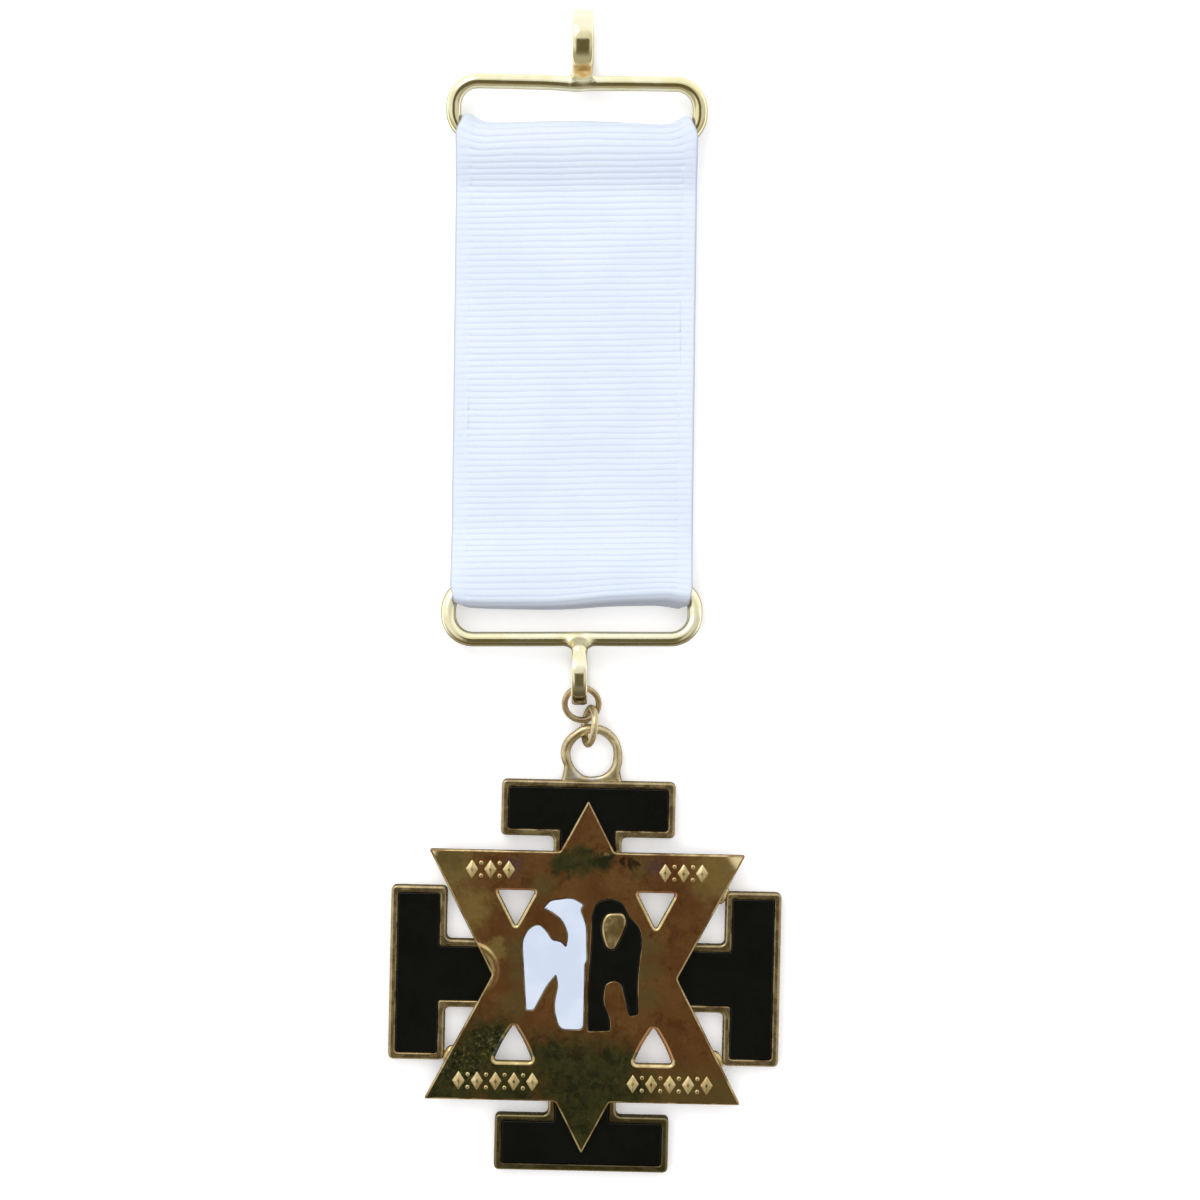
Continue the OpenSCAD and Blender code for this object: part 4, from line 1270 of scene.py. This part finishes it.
def build_ribbon(cloth):
    ribbon = Ribbon()
    half = RIBBON_W / 2
    left = [-half + d for d in EDGE_COLUMNS]
    inner = list(np.linspace(left[-1], -left[-1], MIDDLE_COLUMNS + 2))[1:-1]
    xs = np.array(left + inner + [-x for x in reversed(left)])
    count = ribbon.ribs * RIB_STEPS
    s, x = np.meshgrid(np.arange(count) * ribbon.total / count, xs, indexing="ij")
    skewed = s - RIB_SKEW * x + RIB_WANDER * noise_grid(x / 7, s / 2.6, 8.2)
    rib = ribbon.rib(s, x)
    from_edge = half - np.abs(x)
    thin = 0.3 * CLOTH_T * np.clip((0.35 - from_edge) / 0.35, 0, 1) ** 2
    outer = ribbon.at(skewed, x, (rib - 1) * RIB_DEPTH - DIMPLE * ribbon.dimples(s, from_edge) - thin)
    under = ribbon.at(skewed, x, thin - CLOTH_T)
    for grid in (outer, under):
        z = grid[:, :, 2]
        z += WAVE_H * noise_grid(grid[:, :, 0] / 17, grid[:, :, 1] / 13, 3.1) * smooth((z - 1.4) / 0.6)
    points = np.concatenate([outer.reshape(-1, 3), under.reshape(-1, 3)])
    piece = make("ribbon_cloth", points, loop_faces(*s.shape), [cloth], ribbon.matrix)
    # Painted shade under the foot's fold and along the edges, kept in the fold attribute
    fold = FOLD_SHADE * smooth((LOW_ARC_Y - ribbon.middle(s)[0]) / FOLD_R)
    fold = np.maximum(fold, EDGE_SHADE * np.clip(1 - from_edge / 0.3, 0, 1))
    for name, values in (("rib", rib), ("across_mm", x), ("along_mm", s), ("fold", fold)):
        layer = piece.data.attributes.new(name, "FLOAT", "POINT")
        layer.data.foreach_set("value", np.tile(values.ravel(), 2).astype(np.float32))
    stand_for(piece, "ribbon")
    return ribbon, piece


def stitch_line(ribbon, k, side):
    """The middle of a stitch's thread, which rises from the cloth between its ends."""
    length = STITCH_EVERY * ribbon.pitch
    ts = np.linspace(0, 1, 9)
    s = length * k + length * (0.06 + 0.88 * ts)
    sink = -0.24 + 0.15 * np.sin(np.pi * ts) ** 0.5
    xs = np.full(len(ts), side * (RIBBON_W / 2 - STITCH_IN)) + 0.05 * sin(7.3 * k + side)
    line = ribbon.at(s - RIB_SKEW * xs, xs, sink)
    line[:, 2] = np.maximum(line[:, 2], STITCH_R)
    return line


def tube(line):
    """The points and faces of a thread with closed ends along a line of points."""
    tangent = np.gradient(line, axis=0)
    tangent /= np.linalg.norm(tangent, axis=1)[:, None]
    points = []
    for p, t in zip(line, tangent):
        across = np.cross(t, (0, 0, 1))
        across /= np.linalg.norm(across)
        up = np.cross(across, t)
        points += [tuple(p + across * a + up * b) for a, b in circle(STITCH_R, STITCH_SIDES)]
    n = STITCH_SIDES
    last = len(points) - n
    faces = [face for a in range(0, last, n) for face in band(a, a + n, n)]
    return points, faces + [tuple(range(n)), tuple(range(last, last + n))]


def build_stitches(ribbon, cotton):
    """Two rows of stitches near the edges, on the front and the back."""
    length = STITCH_EVERY * ribbon.pitch
    threads = []
    for k in range(round(ribbon.total / length)):
        middle = ribbon.at(np.array([length * (k + 0.5)]), np.zeros(1), np.zeros(1))[0]
        if STITCH_FOOT - RIBBON_L < middle[1] < -STITCH_TOP:
            threads += [tube(stitch_line(ribbon, k, side)) for side in (-1, 1)]
    points, faces = joined(threads)
    piece = make("ribbon_stitches", points, faces, [cotton], ribbon.matrix)
    return piece


# Camera, floor and light

CAMERA_AT = (2.4, -1.1)
CAMERA_HEIGHT = 450
VIEW_W = 188.8
SUBJECT_Z = 3
# Half the floor's side in metres, and its gap under the jewel in millimetres
FLOOR_HALF = 3
FLOOR_GAP = 0.02
# Brightness of the room: what the metal mirrors, and what lights the cloth and the floor
SKY_LEFT = (0.95, 0.97, 1.0, 1)
SKY_RIGHT = (0.7, 0.7, 0.7, 1)
SKY_TOP = (1.08, 1.12, 1.22, 1)
SKY_FOOT = (0.44, 0.42, 0.36, 1)
SHADE = (0.13, 0.11, 0.062, 1)
SOFT_LOW = (0.4, 0.4, 0.4, 1)
SOFT_HIGH = (1.36, 1.36, 1.37, 1)
SOFT_FOOT = 0.45
# Place of the key light, in metres
KEY_AT = (-0.25, 0.38, 0.42)


def build_camera():
    data = bpy.data.cameras.new("camera")
    data.sensor_width = 36
    data.lens = data.sensor_width * (CAMERA_HEIGHT - SUBJECT_Z) / VIEW_W
    data.clip_start = 0.01
    data.clip_end = 10
    camera = add_object("camera", data)
    camera.location = (CAMERA_AT[0] * MM, CAMERA_AT[1] * MM, CAMERA_HEIGHT * MM)
    bpy.context.scene.camera = camera


def build_floor(paint):
    mesh = bpy.data.meshes.new("floor")
    corners = [(x * FLOOR_HALF, y * FLOOR_HALF, 0) for x, y in ((-1, -1), (1, -1), (1, 1), (-1, 1))]
    mesh.from_pydata(corners, [], [(0, 1, 2, 3)])
    mesh.materials.append(paint)
    floor = add_object("floor", mesh)
    floor.location = (0, 0, -FLOOR_GAP * MM)


def build_room():
    """Soft light from all round, and a paler and darker room, with a brown shade, that the metal mirrors."""
    world = bpy.data.worlds.new("studio")
    bpy.context.scene.world = world
    tree = Tree(world, "Generated")
    x, y, z = (tree.part(tree.place, axis) for axis in "XYZ")
    lean = tree.math("ARCTAN2", tree.times(y, -1), z)

    def lean_span(low, high, to_low, to_high):
        return tree.span(lean, radians(low), radians(high), to_low, to_high)

    sky = tree.mix(tree.span(x, -0.7, 0.7), SKY_LEFT, SKY_RIGHT)
    sky = tree.mix(lean_span(-40, -16, 1, 0), sky, SKY_TOP)
    sky = tree.mix(lean_span(20, 50, 0, 1), sky, SKY_FOOT)
    shade = tree.times(lean_span(-8, -1, 0, 1), lean_span(36, 62, 1, 0))
    shade = tree.times(shade, tree.span(tree.math("ABSOLUTE", x), 0.16, 0.45, 1, 0))
    soft = tree.mix(tree.span(z, 0.2, 1), SOFT_LOW, SOFT_HIGH)
    soft = tree.vector("SCALE", soft, lean_span(35, 90, 1, SOFT_FOOT))
    glossy = tree.add("ShaderNodeLightPath", {})["Is Glossy Ray"]
    background = tree.nodes["Background"].inputs
    tree.feed(background["Color"], tree.mix(glossy, soft, tree.mix(shade, sky, SHADE)))
    tree.feed(background["Strength"], 1.0)
    world.cycles.sampling_method = "NONE"


def build_key_light():
    """A weak round light from the top left."""
    data = bpy.data.lights.new("key", "AREA")
    data.shape = "DISK"
    data.size = 0.4
    data.energy = 1.0
    data.color = (1.0, 0.99, 0.97)
    key = add_object("key", data)
    key.location = KEY_AT
    key.rotation_euler = (-key.location).to_track_quat("-Z", "Y").to_euler()


def main():
    noise.seed_set(NOISE_SEED)
    build_camera()
    build_floor(floor_paint())
    build_room()
    build_key_light()
    bpy.context.scene.view_settings.view_transform = "Standard"
    brass = ring_brass("ring_brass", rgb(206, 186, 140), rgb(228, 214, 170), rgb(158, 130, 86), EYE_SOLDER)
    dull = ring_brass("ring_brass_dull", rgb(188, 164, 124), rgb(212, 190, 148), rgb(140, 116, 80))
    border = worn_edge(
        "border_gilt", rgb(158, 140, 104), rgb(188, 168, 124), rgb(104, 84, 52), foot=rgb(104, 98, 58),
    )
    rim = worn_edge("star_rim", rgb(196, 172, 118), rgb(226, 204, 150), rgb(134, 108, 66))
    edge = worn_edge("star_edge", rgb(140, 108, 70), rgb(214, 190, 138), rgb(96, 72, 44), 4.5)
    # A darker gilt for the recesses' walls and floors, as painted shade; darker still towards the bottom
    # arm's end
    recess_shade = worn_edge("recess_shade_gilt", rgb(92, 72, 46), rgb(168, 146, 102), rgb(64, 48, 30), 3.4, rgb(58, 54, 36))
    build_frames(gilt_wire("gilt_wire", 0), gilt_wire("gilt_wire_low", 0.85))
    finish_jump_rings(dull, brass)
    build_cross(border, aged_face(), rim, edge, recess_shade, brass)
    build_ornament(rim)
    build_solder(rim)
    build_enamels({
        "black": enamel("enamel_black", rgb(5, 8, 6), rgb(9, 12, 11)),
        "white": enamel("enamel_white", rgb(203, 214, 232), rgb(212, 222, 238)),
    })
    ribbon, cloth = build_ribbon(ribbon_cloth())
    stitches = build_stitches(ribbon, thread())


main()
